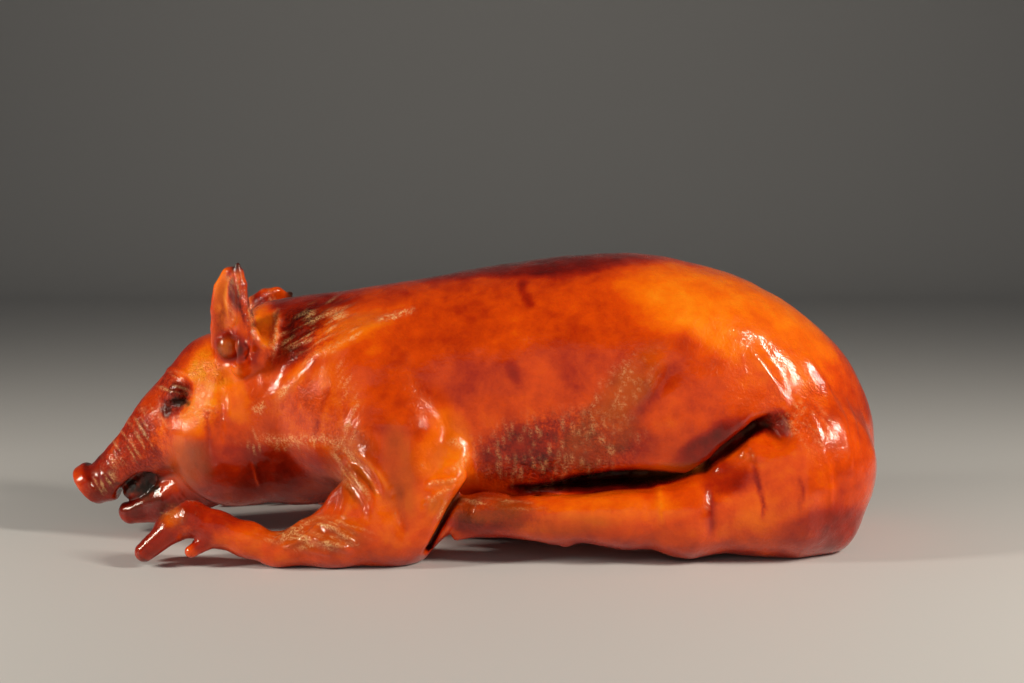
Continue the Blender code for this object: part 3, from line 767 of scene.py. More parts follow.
# Fine ridges: height in millimetres, width in pixels, path in picture coordinates.
RIDGES = (
    (0.5, 1.8, ((280, 306), (276, 330), (274, 345), (271, 362))),
    (1.7, 2.6, ((423, 490), (430, 486), (444, 485), (461, 480))),
    (1.7, 2.6, ((422, 513), (431, 502), (443, 495), (457, 488))),
    (1.7, 2.6, ((427, 528), (436, 513), (443, 503))),
    (1.8, 2.6, ((262, 552), (280, 540), (296, 528), (314, 518))),
    (1.8, 2.6, ((274, 556), (296, 546), (312, 533), (322, 524))),
    (1.8, 2.6, ((318, 524), (329, 532), (342, 541), (356, 551))),
    (1.8, 2.6, ((300, 541), (318, 545), (336, 551), (352, 558))),
    (1.8, 2.6, ((334, 524), (346, 531), (362, 541))),
    (1.1, 2.4, ((290, 553), (310, 556), (332, 560))),
    (-0.6, 1.2, HAM_CREASE),
    (-0.4, 1.6, ((800, 478), (802, 498), (803, 518))),
    (0.5, 1.6, ((547, 500), (558, 501), (566, 497))),
    (-0.8, 3.5, ((613, 432), (611, 455), (612, 480))),
    (-0.6, 3.0, ((548, 404), (553, 425), (551, 448))),
    (0.8, 9, ((500, 470), (560, 455), (640, 420))),
    (0.6, 1.6, JAW_SCAR),
    (-0.5, 1.6, ((204, 398), (204, 420), (206, 470))),
    (0.5, 1.4, ((166, 492), (172, 500), (178, 508))),
    (0.5, 1.4, ((172, 492), (178, 500), (185, 507))),
    (0.7, 1.8, ((79, 478), (82, 486), (88, 494))),
    (0.8, 1.8, ((86, 476), (91, 486), (99, 494))),
    (0.7, 1.8, ((94, 474), (99, 484), (107, 492))),
    (0.6, 1.8, ((232, 284), (228, 300), (230, 318), (236, 330))),
    (0.8, 2.4, ((219, 300), (222, 308), (219, 316))),
    (0.7, 2.4, ((226, 322), (231, 327), (236, 325))),
    (0.5, 1.6, ((222, 332), (230, 336), (240, 334))),
    (0.8, 1.6, ((160, 372), (170, 368), (182, 372), (190, 382))),
    (0.8, 1.6, ((164, 384), (172, 378), (182, 382), (188, 392))),
    (-0.9, 1.6, ((161, 394), (170, 388), (180, 390), (187, 398))),
    (0.8, 1.6, ((158, 404), (168, 398), (178, 400), (185, 408))),
    (-0.7, 1.5, ((160, 412), (170, 406), (180, 408))),
)
# Lips with a groove beside them, in the same form.
FOLDS = (
    (0.8, 2.2, ((338, 474), (350, 480), (359, 490), (365, 503))),
    (0.6, 3.0, ((806, 350), (826, 380), (840, 412), (846, 440))),
    (0.6, 3.0, ((832, 388), (847, 418), (855, 450), (856, 480))),
    (0.5, 2.5, ((846, 392), (859, 424), (866, 462))),
    (0.6, 2.5, ((826, 446), (836, 480), (838, 520))),
    (0.6, 2.4, ((765, 418), (778, 424), (790, 436))),
    (0.6, 2.2, ((762, 426), (774, 434), (784, 446))),
    (0.5, 2.0, ((760, 432), (768, 442), (776, 454))),
    (0.5, 2.2, ((174, 505), (180, 515), (178, 530))),
)
# Drops of set glaze under the groin: column, row and radius in pixels.
DROPS = ((748, 455, 3.2), (757, 452, 2.6), (760, 459, 3.0), (753, 448, 2.2), (722, 470, 2.4))
DROP_HEIGHT, DROP_FLATNESS = 1.6, 0.6
# Wrinkles on neck, cheek, muzzle and rump: height, spacing, seed, how u and v run across
# and along them, how much they bend about BEND_ROW, and an ellipse.
BEND_ROW = 360
WRINKLES = (
    (0.8, 3.8, 11, (0.5, 0.86), (0.1032, -0.06), 0.0, (315, 324, 52, 26, -28)),
    (0.3, 3.2, 12, (1.0, 0.15), (0.0, 0.1), 0.0, (216, 418, 24, 44, 5)),
    (0.45, 4.0, 13, (0.5, 0.86), (0.258, -0.15), 0.0, (128, 440, 42, 46, -40)),
    (0.3, 6.0, 14, (0.86, -0.5), (0.0, 0.07), 0.0012, (830, 430, 46, 110, -16)),
)


def relief(p, u, v):
    """Height of the skin over the plain form, in millimetres."""
    h = 0.7 * fractal(p, 34, 3, 2) + 0.22 * fractal(p, 9, 5, 2)
    for height, width, path in RIDGES:
        h = h + height * ridge(u, v, path, width)
    for height, width, path in FOLDS:
        h = h + height * fold(u, v, path, width)
    for cu, cv, radius in DROPS:
        h = h + DROP_HEIGHT * np.exp(-(((u - cu) ** 2 + DROP_FLATNESS * (v - cv) ** 2) / radius**2))
    for height, spacing, seed, across, along, bend, row in WRINKLES:
        a = across[0] * u + across[1] * v + bend * (v - BEND_ROW) ** 2
        b = along[0] * u + along[1] * v
        h = h + height * noise(np.stack([a, b, 0 * u], 1), spacing, seed) * patch(u, v, row)
    return h + rough_mask(p, u, v) * (0.30 * noise(p, 3.2, 21) + 0.26 * noise(p, 6.5, 22))


# Dry, finely crinkled skin: strength and an ellipse.
LEAST_ROUGH = 0.12
ROUGH_PATCHES = (
    (1.0, (556, 452, 88, 44, -8)),
    (0.9, (128, 442, 44, 44, -40)),
    (0.8, (300, 335, 44, 30, -28)),
    (1.0, (173, 396, 22, 28, -20)),
    (0.7, (203, 388, 24, 46, 0)),
    (0.5, (312, 410, 48, 40, 0)),
    (0.9, (245, 306, 10, 40, -14)),
    (0.6, (222, 318, 14, 16, 0)),
    (0.5, (345, 440, 30, 22, 20)),
    (0.5, (500, 520, 60, 22, 0)),
    (0.5, (800, 405, 40, 44, 40)),
    (0.5, (172, 522, 26, 22, 0)),
)


def rough_mask(p, u, v):
    """Where the skin is dry and finely crinkled."""
    rough = np.maximum(LEAST_ROUGH, strongest(u, v, ROUGH_PATCHES))
    return rough * np.clip(0.75 + 0.6 * noise(p, 16, 31), 0, 1)


# Browning of the skin, with painted shade and light in the rows marked so: 0 is pale gold, 0.5
# orange, 0.8 dark red and 1 black. Each row holds the level, its strength and an ellipse.
BROWNING_AND_PAINTED_LIGHT = (
    # Painted shade: a darker band along the top of the back.
    (0.68, 1.0, (520, 266, 190, 12, -3)),
    (0.56, 0.8, (500, 360, 150, 60, 0)),
    # Painted light: the upper rear is lighter where the light falls on it.
    (0.33, 1.0, (720, 312, 110, 42, 18)),
    (0.40, 0.8, (790, 340, 60, 50, 30)),
    (0.57, 0.8, (662, 362, 58, 36, 0)),
    (0.62, 0.5, (656, 392, 16, 50, 35)),
    # Painted shade: the lower belly is darker where it turns under.
    (0.72, 0.9, (560, 452, 96, 34, -6)),
    (0.62, 0.7, (600, 430, 60, 28, -30)),
    # Painted shade: darker along the groin crease.
    (0.74, 1.0, (715, 446, 46, 16, -36)),
    (0.46, 0.9, (780, 490, 60, 56, 0)),
    (0.68, 0.9, (728, 478, 30, 20, 0)),
    (0.54, 0.9, (856, 436, 26, 90, -8)),
    # Painted shade: darker low on the rump, near the floor.
    (0.66, 0.9, (830, 535, 60, 24, -10)),
    (0.44, 0.9, (610, 510, 80, 22, 4)),
    (0.70, 0.9, (480, 515, 56, 26, 0)),
    (0.40, 0.9, (446, 456, 34, 46, 0)),
    (0.52, 0.7, (380, 470, 46, 56, 0)),
    (0.45, 0.8, (410, 520, 70, 34, 0)),
    (0.55, 0.8, (310, 542, 60, 18, 0)),
    (0.68, 0.9, (200, 515, 52, 26, 0)),
    (0.46, 0.8, (300, 400, 60, 60, 0)),
    (0.60, 0.8, (380, 444, 24, 26, 0)),
    (0.62, 0.8, (292, 480, 60, 32, 0)),
    # Painted shade: the throat is darker where it turns under.
    (0.72, 1.0, (250, 480, 60, 34, 0)),
    (0.66, 0.9, (190, 468, 46, 34, 0)),
    (0.63, 1.0, (124, 448, 52, 44, -40)),
    (0.46, 0.8, (166, 436, 18, 34, -20)),
    (0.73, 1.0, (294, 335, 34, 40, 0)),
    (0.74, 1.0, (300, 302, 56, 14, -6)),
    (0.30, 1.0, (196, 392, 26, 48, 10)),
    (0.34, 0.8, (232, 392, 14, 40, -14)),
    (0.70, 0.9, (172, 360, 14, 40, 42)),
    (0.36, 0.7, (262, 328, 13, 30, 0)),
    (0.76, 0.9, (92, 478, 22, 26, 0)),
    (0.78, 0.8, (174, 397, 15, 22, 30)),
    # Painted shade: the underside of the muzzle and jaw is darker.
    (0.84, 0.9, (140, 513, 34, 18, -14)),
    (0.72, 0.9, (150, 545, 26, 22, 0)),
    (0.72, 0.9, (194, 545, 14, 14, 0)),
    # Painted shade: darker at the end of the groin crease.
    (0.80, 0.7, (780, 428, 16, 16, 0)),
    # Painted shade: the lower half of the hind foot is darker.
    (0.72, 0.9, (486, 524, 54, 10, 2)),
    # Painted shade: darker low on the rump, near the floor.
    (0.70, 0.8, (846, 532, 34, 28, 0)),
    (0.58, 0.8, (306, 408, 16, 26, 0)),
    (0.40, 0.7, (345, 330, 40, 14, -24)),
    (0.42, 0.8, (168, 521, 10, 12, 0)),
)
# Narrow brown lines, with painted shade in creases and painted highlights in the lines marked so:
# level, strength, width in pixels and path.
BROWN_AND_PAINTED_LIGHT_LINES = (
    # Painted shade: darker in the crease down the ham.
    (0.80, 0.7, 2.2, HAM_CREASE),
    # Painted shade: darker in the ring crease round the hind leg.
    (0.78, 0.7, 4.0, ((706, 480), (713, 505), (714, 545))),
    # Painted shade: darker in a crease on the ham.
    (0.74, 0.6, 1.8, ((800, 474), (802, 498), (803, 520))),
    (0.30, 0.7, 3.5, ((662, 484), (664, 505), (667, 534))),
    (0.78, 0.7, 6.0, ((520, 278), (526, 294), (531, 312))),
    (0.70, 0.6, 5.0, ((508, 360), (514, 372), (516, 386))),
    # Painted shade: a darker line in the flank's valley.
    (0.74, 0.4, 6.5, ((684, 352), (665, 385), (650, 405), (634, 428))),
    # Painted highlight: lighter along the fold behind the ear.
    (0.40, 0.8, 4.0, ((277, 306), (272, 330), (268, 360))),
    # Painted highlight: lighter along the neck ridge.
    (0.34, 0.7, 6.0, ((252, 414), (275, 398), (312, 354), (334, 346), (350, 335), (414, 309))),
    (0.30, 0.6, 3.0, ((342, 462), (356, 469), (367, 482), (373, 497), (378, 512))),
    (0.26, 0.6, 3.0, ((350, 452), (365, 461), (376, 474), (383, 486), (388, 500))),
    (0.62, 0.6, 5.0, ((398, 480), (402, 505), (406, 540))),
    (0.34, 0.5, 2.4, ((352, 482), (345, 492), (347, 500), (344, 513), (328, 527))),
    (0.40, 0.5, 1.4, JAW_SCAR),
    (0.64, 0.6, 4.0, ((205, 398), (206, 430), (210, 460))),
    (0.76, 0.8, 1.8, ((193, 461), (196, 465), (197, 469))),
    (0.70, 0.5, 3.0, ((330, 380), (318, 420), (312, 440))),
)
# Browning of the near ear in the same two forms; it has finer marks than the rest.
EAR_BROWNING = (
    (0.34, 1.0, (221, 292, 9, 28, 4)),
    (0.78, 1.0, (233, 292, 5, 22, -10)),
    (0.44, 0.9, (227, 319, 13, 10, 0)),
    (0.80, 0.9, (228, 347, 17, 17, 0)),
    (0.46, 1.0, (228, 347, 9, 10, 0)),
)
EAR_LINES = (
    (0.24, 0.9, 1.6, ((237, 269), (228, 280), (225, 296), (226, 310), (230, 322))),
    (0.60, 0.9, 3.2, ((240, 276), (243, 300), (248, 322), (254, 340))),
    (0.86, 0.8, 1.3, ((236, 278), (239, 304), (245, 328))),
    (0.84, 0.7, 1.3, ((246, 284), (250, 308), (256, 330))),
    (0.64, 0.9, 4.5, ((242, 336), (251, 341), (256, 350), (252, 360), (243, 366))),
    (0.84, 0.8, 1.5, ((240, 340), (246, 346), (248, 352), (245, 358), (238, 362))),
)

# Levels of the skin as a whole, the painted shade on the underside and in the creases, and
# the far ear.
BASE_LEVEL, UNDER_SHADE_LEVEL, GROIN_SHADE_LEVEL, ARM_CREASE_SHADE_LEVEL = 0.52, 0.66, 0.88, 0.86
FAR_EAR_LEVEL, FAR_EAR_FADE = 0.76, 0.022
FAR_EAR_MIDDLE = (-133, 46, 138)
# Painted shade: how much darker the top of the back is.
SPINE_SHADE = 0.10


def painted(level, u, v, patches, lines):
    """The level after each patch, and then each line, has pulled it towards its own."""
    for target, strength, row in patches:
        level = level + (target - level) * strength * patch(u, v, row)
    for target, strength, width, path in lines:
        level = level + (target - level) * strength * ridge(u, v, path, width)
    return level


def browning_and_painted_light(p, normal, u, v):
    """How brown each point is, from the tables and from where it lies on the body; the level
    also holds painted shade under the body, on the back's top and in the creases, and painted light.
    """
    level = BASE_LEVEL + 0 * u
    wobble = np.stack([noise(p, 22, 41), noise(p, 22, 42)], 1) * 7
    wu, wv = u + wobble[:, 0], v + wobble[:, 1]
    level = painted(level, wu, wv, BROWNING_AND_PAINTED_LIGHT, BROWN_AND_PAINTED_LIGHT_LINES)
    level = painted(level, u, v, EAR_BROWNING, EAR_LINES)
    x, y, z = p.T
    # Painted shade: darker along the top of the back.
    spine = smooth(150, 172, z + 0.06 * np.abs(x - 60)) * smooth(-100, -60, x) * (1 - smooth(80, 150, x))
    level = level + SPINE_SHADE * spine
    # Painted shade: darker on the underside near the floor.
    under = smooth(0.35, 0.9, -normal[:, 2]) * (1 - smooth(20, 60, z))
    level = level + (UNDER_SHADE_LEVEL - level) * 0.7 * under
    far_ear = 1 - smooth(14, 20, np.linalg.norm(p - FAR_EAR_MIDDLE, axis=1))
    far_ear_level = FAR_EAR_LEVEL - FAR_EAR_FADE * np.clip(z - FAR_EAR_MIDDLE[2], 0, 12)
    level = level + (far_ear_level - level) * far_ear
    # Painted shade: near black deep in the groin and belly creases.
    side = (x, np.abs(y), z)
    inside = np.minimum(crease(side, 1, GROIN), crease(side, 1, GROIN_TO_BELLY))
    groin_shade = (1 - smooth(1.0, 4.0, inside)) * (1 - smooth(68, 74, np.abs(y)))
    level = level + (GROIN_SHADE_LEVEL - level) * groin_shade
    # Painted shade: darker in the crease where the arm lies over the hind foot.
    arm_crease_shade = (1 - smooth(0.5, 5.0, crease(side, 1, ELBOW))) * (1 - smooth(74, 84, np.abs(y)))
    level = level + (ARM_CREASE_SHADE_LEVEL - level) * 0.8 * arm_crease_shade
    level = level + 0.055 * fractal(p, 42, 44, 3) + 0.05 * fractal(p, 13, 45, 3)
    level = level + 0.16 * rough_mask(p, u, v) * fractal(p, 6, 46, 2)
    return np.clip(level, 0.04, 0.9)


# Dry, olive-tan skin: strength and an ellipse.
OLIVE_PATCHES = (
    (0.6, (398, 476, 20, 54, -8)),
    (0.7, (350, 470, 30, 40, 0)),
    (0.9, (310, 537, 56, 20, 0)),
    (0.7, (620, 400, 22, 70, 38)),
    (0.6, (600, 440, 50, 26, -34)),
    (0.7, (186, 466, 24, 28, 0)),
    (0.7, (485, 512, 60, 16, 3)),
    (0.8, (670, 474, 44, 9, -6)),
    (0.8, (168, 521, 12, 14, 0)),
    (0.6, (560, 528, 60, 12, 0)),
    (0.6, (227, 319, 14, 12, 0)),
    (1.0, (228, 347, 10, 11, 0)),
)


def olive_mask(p, u, v):
    """Where the skin has dried to an olive tan."""
    olive = strongest(u + 7 * noise(p, 18, 34), v, OLIVE_PATCHES)
    return olive * np.clip(0.8 + 0.5 * noise(p, 14, 33), 0, 1)


# Pale crackle on crests and wrinkles, partly painted highlights: strength, the lean of its grain
# and an ellipse.
CRACKLE_AND_HIGHLIGHT_PATCHES = (
    (0.8, -28, (312, 326, 46, 20, -28)),
    (1.0, -45, (257, 408, 8, 8, -40)),
    (1.0, -60, (282, 391, 6, 9, 20)),
    (1.0, -30, (313, 356, 7, 6, -30)),
    (0.9, -30, (334, 347, 8, 5, -30)),
    (0.9, -30, (353, 334, 9, 5, -35)),
    (1.0, -15, (386, 318, 18, 5, -16)),
    (0.7, 80, (296, 444, 56, 9, 0)),
    (1.0, 80, (319, 442, 12, 7, 0)),
    (0.9, -60, (341, 447, 9, 10, 0)),
    (0.8, 80, (252, 442, 9, 14, 0)),
    (0.6, -60, (347, 408, 12, 48, -8)),
    (0.8, 90, (273, 334, 4, 30, 6)),
    (0.5, 80, (552, 450, 92, 38, -8)),
    (0.5, -62, (616, 398, 22, 60, 38)),
    (0.5, 20, (196, 406, 18, 16, 0)),
    (0.9, -60, (206, 362, 6, 9, 30)),
    (0.8, 30, (187, 410, 10, 6, 20)),
    (0.5, 60, (130, 440, 42, 22, -42)),
    (0.8, 62, (96, 487, 18, 10, -40)),
    (0.7, 76, (246, 304, 6, 40, -14)),
    (0.4, 60, (230, 292, 6, 24, 0)),
    (0.8, 15, (312, 538, 54, 18, 0)),
    (0.6, 50, (350, 474, 16, 34, -30)),
    (0.6, 20, (172, 386, 17, 15, 0)),
    (0.6, 5, (492, 508, 50, 6, 3)),
    (0.4, 60, (812, 424, 22, 36, -40)),
    (0.4, 10, (165, 520, 12, 12, 0)),
)
# Painted highlights with pale crackle along crests: strength, width in pixels and path.
CRACKLE_AND_HIGHLIGHT_LINES = (
    (0.9, 3.0, ((443, 446), (455, 443), (464, 450), (466, 458), (462, 465), (453, 471), (444, 474))),
    (0.8, 1.8, ((425, 492), (431, 486), (444, 484), (458, 482))),
    (0.7, 1.8, ((424, 510), (436, 498), (452, 488))),
    (0.7, 1.8, ((432, 528), (440, 515), (446, 502))),
    (0.7, 1.8, ((270, 552), (285, 540), (300, 530), (315, 520))),
    (0.6, 1.6, ((318, 526), (330, 533), (345, 543))),
    (0.6, 1.6, ((285, 556), (310, 550), (340, 556))),
    (0.9, 3.0, ((250, 414), (256, 409), (264, 404))),
    (0.8, 3.0, ((276, 398), (281, 391), (286, 386))),
    (0.5, 2.6, ((296, 372), (310, 356), (322, 350), (334, 346), (352, 334))),
    (1.0, 2.6, ((372, 322), (386, 317), (400, 313), (418, 309))),
    (0.9, 2.2, ((278, 306), (275, 330), (271, 360))),
    (0.7, 5.0, ((248, 436), (262, 440), (285, 444), (310, 441), (325, 442), (340, 446), (350, 456))),
)


def pale_crackle_and_highlights(u, v):
    """Fine pale wrinkles that run along their patch's grain, partly painted highlights on crests."""
    pale = 0 * u
    for strength, lean, row in CRACKLE_AND_HIGHLIGHT_PATCHES:
        along, across = turned(u, v, lean)
        grain = np.stack([0.16 * along, across, 0 * u], 1)
        crest = smooth(0.0, 0.55, noise(grain, 3.0, 71 + abs(lean)))
        pale = np.maximum(pale, strength * crest * patch(u, v, row))
    speckle = smooth(-0.4, 0.25, noise(np.stack([u, v, 0 * u], 1), 2.2, 88))
    for strength, width, path in CRACKLE_AND_HIGHLIGHT_LINES:
        pale = np.maximum(pale, strength * speckle * ridge(u, v, path, width))
    return pale


# Skin that takes less glaze: strength and an ellipse.
MATTE_PATCHES = (
    (0.85, (198, 392, 28, 52, 10)),
    (0.8, (136, 432, 50, 26, -44)),
    (0.7, (172, 360, 14, 40, 42)),
    (0.9, (315, 390, 24, 28, 0)),
    (0.9, (430, 417, 26, 36, 0)),
    (0.7, (850, 496, 28, 60, 0)),
    (0.9, (782, 428, 22, 16, 0)),
    (0.5, (300, 330, 40, 34, 0)),
)


def matte_mask(u, v, level):
    """Where the glaze is thin, and in the near-black creases."""
    return np.maximum(smooth(0.80, 0.88, level), strongest(u, v, MATTE_PATCHES))


# Charred spots: the middle as x, distance from the middle plane and z, the radii, the strength.
CHARRED_SPOTS = (
    ((-178, 28, 87), (8, 9, 3.6), 0.95),
    ((-187, 28, 81), (4, 9, 4), 0.7),
    ((-180, 27, 96), (7, 9, 3), 0.4),
    # Black inside the mouth: char, and painted shade in the mouth's recess.
    ((-208, 0, 30), (17, 17, 8), 1.0),
    ((-203, 0, 36), (12, 20, 7), 0.9),
    ((-245, 5, 28), (3.5, 3.5, 4.5), 0.9),
    ((-186, 81, 8), (8, 12, 8), 0.7),
    ((-38, 78, 11), (8, 12, 8), 0.7),
)
EAR_TIPS = ((-138, -49, 170), (-121, 50, 148))
EAR_TIP_CHAR = 0.95


def charring(p):
    """Where the skin is burnt black: eye sockets, ear tips, mouth, nostrils and hooves. The black in
    the mouth is partly painted shade in its recess.
    """
    x, y, z = p.T
    side = np.array([x, np.abs(y), z]).T
    char = 0 * x
    for centre, radii, strength in CHARRED_SPOTS:
        gap = np.sqrt((((side - centre) / radii) ** 2).sum(1)) + 0.5 * fractal(p, 7, 51)
        char = np.maximum(char, strength * (1 - smooth(0.6, 1.2, gap)))
    for tip in EAR_TIPS:
        gap = np.linalg.norm(p - tip, axis=1) + 2.0 * noise(p, 5, 52)
        char = np.maximum(char, EAR_TIP_CHAR * (1 - smooth(2, 7, gap)))
    return char


# The skin as a mesh


def offset_to_solid(points):
    """How far the surface moves so that its box has the solid's middle and base."""
    low, high = (np.array(corner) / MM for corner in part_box("roast_pig"))
    move = (low + high) / 2 - (points.min(0) + points.max(0)) / 2
    move[2] = low[2] - points[:, 2].min()
    return move


# Depth of the pits in char and height of pale crackle, in millimetres.
CHAR_PITS, PALE_HEIGHT = 0.5, 0.35


def make_pig():
    """The skin's mesh with its marks as point attributes, and how far it was moved."""
    points, quads = pig_surface()
    normal = normals_of(points, quads)
    u, v = picture(points)
    level = browning_and_painted_light(points, normal, u, v)
    marks = {
        "browning_and_painted_light": level,
        "rough": rough_mask(points, u, v),
        "olive": olive_mask(points, u, v),
        # Pale crackle, partly painted highlights on crests.
        "pale": pale_crackle_and_highlights(u, v),
        "char": charring(points),
        "matte": matte_mask(u, v, level),
    }
    pits = CHAR_PITS * marks["char"] * noise(points, 2.6, 61)
    height = relief(points, u, v) + pits + PALE_HEIGHT * marks["pale"]
    off_floor = smooth(0.3, 3.0, points[:, 2])
    raised = points + normal * (height * off_floor)[:, None]
    raised[:, 2] = np.maximum(raised[:, 2], 0.0)
    move = offset_to_solid(points)
    mesh = bpy.data.meshes.new("roast_pig_skin")
    mesh.from_pydata(((raised + move) * MM).tolist(), [], quads.tolist())
    mesh.validate()
    for name, values in marks.items():
        layer = mesh.attributes.new(name, "FLOAT", "POINT")
        layer.data.foreach_set("value", values.astype(np.float32))
    mesh.shade_smooth()
    mesh.materials.append(skin_material())
    pig_object = bpy.data.objects.new("roast_pig_skin", mesh)
    bpy.context.scene.collection.objects.link(pig_object)
    return pig_object, move


# Materials


def linear(red, green, blue):
    """An sRGB colour of whole numbers up to 255 as linear values."""
    out = []
    for part in (red, green, blue):
        part /= 255
        out.append(part / 12.92 if part <= 0.04045 else ((part + 0.055) / 1.055) ** 2.4)
    return (*out, 1.0)


# Colours along the brown level, which also holds painted shade and light, from pale gold to black.
SKIN_COLOURS = (
    (0.00, (255, 186, 74)),
    (0.18, (250, 152, 22)),
    (0.36, (246, 112, 2)),
    (0.50, (220, 72, 1)),
    (0.64, (168, 34, 2)),
    (0.78, (114, 11, 2)),
    (0.90, (60, 6, 3)),
    (1.00, (22, 6, 4)),
)


class Nodes:
    """Short calls for building a material's nodes."""

    def __init__(self, material):
        material.use_nodes = True
        self.tree = material.node_tree
        self.shader = self.tree.nodes["Principled BSDF"]

    def add(self, kind, links=None, **values):
        node = self.tree.nodes.new(kind)
        for name, value in values.items():
            if name in node.inputs.keys():
                node.inputs[name].default_value = value
            else:
                setattr(node, name, value)
        for name, source in (links or {}).items():
            self.link(source, node.inputs[name])
        return node

    def link(self, source, socket):
        self.tree.links.new(source, socket)

    def attribute(self, name):
        return self.add("ShaderNodeAttribute", attribute_name=name).outputs["Fac"]

    def noise(self, where, scale, detail=4.0, roughness=0.55, distortion=0.0):
        node = self.add(
            "ShaderNodeTexNoise",
            {"Vector": where},
            Scale=scale,
            Detail=detail,
            Roughness=roughness,
            Distortion=distortion,
        )
        return node.outputs["Fac"]

    def math(self, operation, a, b=None, clamp=False):
        node = self.tree.nodes.new("ShaderNodeMath")
        node.operation = operation
        node.use_clamp = clamp
        for socket, value in zip(node.inputs, (a, b)):
            if value is None:
                continue
            if isinstance(value, (int, float)):
                socket.default_value = value
            else:
                self.link(value, socket)
        return node.outputs[0]

    def span(self, value, low, high, to_low=0.0, to_high=1.0):
        node = self.add("ShaderNodeMapRange", {"Value": value}, interpolation_type="SMOOTHSTEP")
        node.inputs["From Min"].default_value = low
        node.inputs["From Max"].default_value = high
        node.inputs["To Min"].default_value = to_low
        node.inputs["To Max"].default_value = to_high
        return node.outputs["Result"]

    def mix(self, share, a, b):
        node = self.tree.nodes.new("ShaderNodeMix")
        node.data_type = "RGBA"
        self.link(share, node.inputs["Factor"])
        for socket, value in zip((node.inputs[6], node.inputs[7]), (a, b)):
            if isinstance(value, tuple):
                socket.default_value = value
            else:
                self.link(value, socket)
        return node.outputs[2]


# The pale crackle colour is partly a painted highlight.
OLIVE_TAN, CRACKLE_AND_HIGHLIGHT_COLOUR, CHARRED = (158, 84, 12), (255, 206, 138), (20, 9, 8)
# Sizes of the skin's patterns, as repeats in a metre.
CLOUDS, MOTTLE, PORES, SPECKS, CELLS = 38.0, 160.0, 620.0, 900.0, 330.0
# How far clouds, mottle and pores of dry skin shift the browning.
CLOUD_SHIFT, MOTTLE_SHIFT, PORE_SHIFT = 0.20, 0.16, 0.5
THICK_GLAZE, THIN_GLAZE = 0.85, 0.12
# The bumps' height in metres, and its share in the skin and in the glaze.
BUMP_HEIGHT = 0.0009
SKIN_BUMP, GLAZE_BUMP = 0.55, 0.32
SKIN_VALUES = {
    "Subsurface Weight": 0.08,
    "Subsurface Radius": (1.0, 0.35, 0.12),
    "Subsurface Scale": 0.004,
    "Specular IOR Level": 0.2,
    "Specular Tint": (1.0, 0.5, 0.22, 1.0),
    "Coat Roughness": 0.07,
    "Coat IOR": 1.45,
}


def skin_colour(n, where, mottle, pores):
    """The colour of the brown level with its painted shade and light, then olive tan, pale crackle
    with painted highlights, and char over it.
    """
    clouds = n.noise(where, CLOUDS, 5.0, 0.6, 0.6)
    shade = n.math("MULTIPLY_ADD", n.math("SUBTRACT", clouds, 0.5), CLOUD_SHIFT)
    n.link(n.attribute("browning_and_painted_light"), shade.node.inputs[2])
    mottled = n.math("MULTIPLY_ADD", n.math("SUBTRACT", mottle, 0.5), MOTTLE_SHIFT)
    n.link(shade, mottled.node.inputs[2])
    dryness = n.math("MULTIPLY", n.attribute("rough"), PORE_SHIFT)
    dry = n.math("MULTIPLY", n.math("SUBTRACT", pores, 0.5), dryness)
    brown = n.math("ADD", mottled, dry, clamp=True)

    ramp = n.add("ShaderNodeValToRGB", {"Fac": brown})
    stops = ramp.color_ramp.elements
    for stop, (place, colour) in zip(stops, (SKIN_COLOURS[0], SKIN_COLOURS[-1])):
        stop.position = place
        stop.color = linear(*colour)
    for place, colour in SKIN_COLOURS[1:-1]:
        stops.new(place).color = linear(*colour)

    tan = n.math("MULTIPLY", n.attribute("olive"), n.span(brown, 0.25, 0.75, 0.75, 0.55))
    colour = n.mix(tan, ramp.outputs["Color"], linear(*OLIVE_TAN))
    # Pale crackle flecks, partly painted highlights.
    specks = n.noise(where, SPECKS, 4.0, 0.7)
    pale = n.math("MULTIPLY", n.attribute("pale"), 0.85)
    fleck = n.math("MULTIPLY", n.span(specks, 0.38, 0.60), pale)
    colour = n.mix(fleck, colour, linear(*CRACKLE_AND_HIGHLIGHT_COLOUR))
    return n.mix(n.attribute("char"), colour, linear(*CHARRED))


def skin_roughness(n, mottle):
    """Glazed skin shines, dry skin less and char least."""
    gloss = n.span(mottle, 0.3, 0.7, 0.24, 0.36)
    gloss = n.math("ADD", gloss, n.math("MULTIPLY", n.attribute("rough"), 0.10))
    return n.math("ADD", gloss, n.math("MULTIPLY", n.attribute("char"), 0.25), clamp=True)


def skin_height(n, where, mottle, pores):
    """The height of pores, mottle and dry cells, for the bumps."""
    rough = n.attribute("rough")
    cells = n.add(
        "ShaderNodeTexVoronoi", {"Vector": where}, feature="DISTANCE_TO_EDGE", Scale=CELLS
    ).outputs["Distance"]
    fine = n.math("MULTIPLY", n.math("SUBTRACT", pores, 0.5), n.span(rough, 0.0, 1.0, 0.3, 2.2))
    broad = n.math("MULTIPLY", n.math("SUBTRACT", mottle, 0.5), 0.9)
    dry = n.math("MULTIPLY", n.span(cells, 0.0, 0.25), n.math("MULTIPLY", rough, 0.5))
    return n.math("ADD", n.math("ADD", fine, broad), dry)


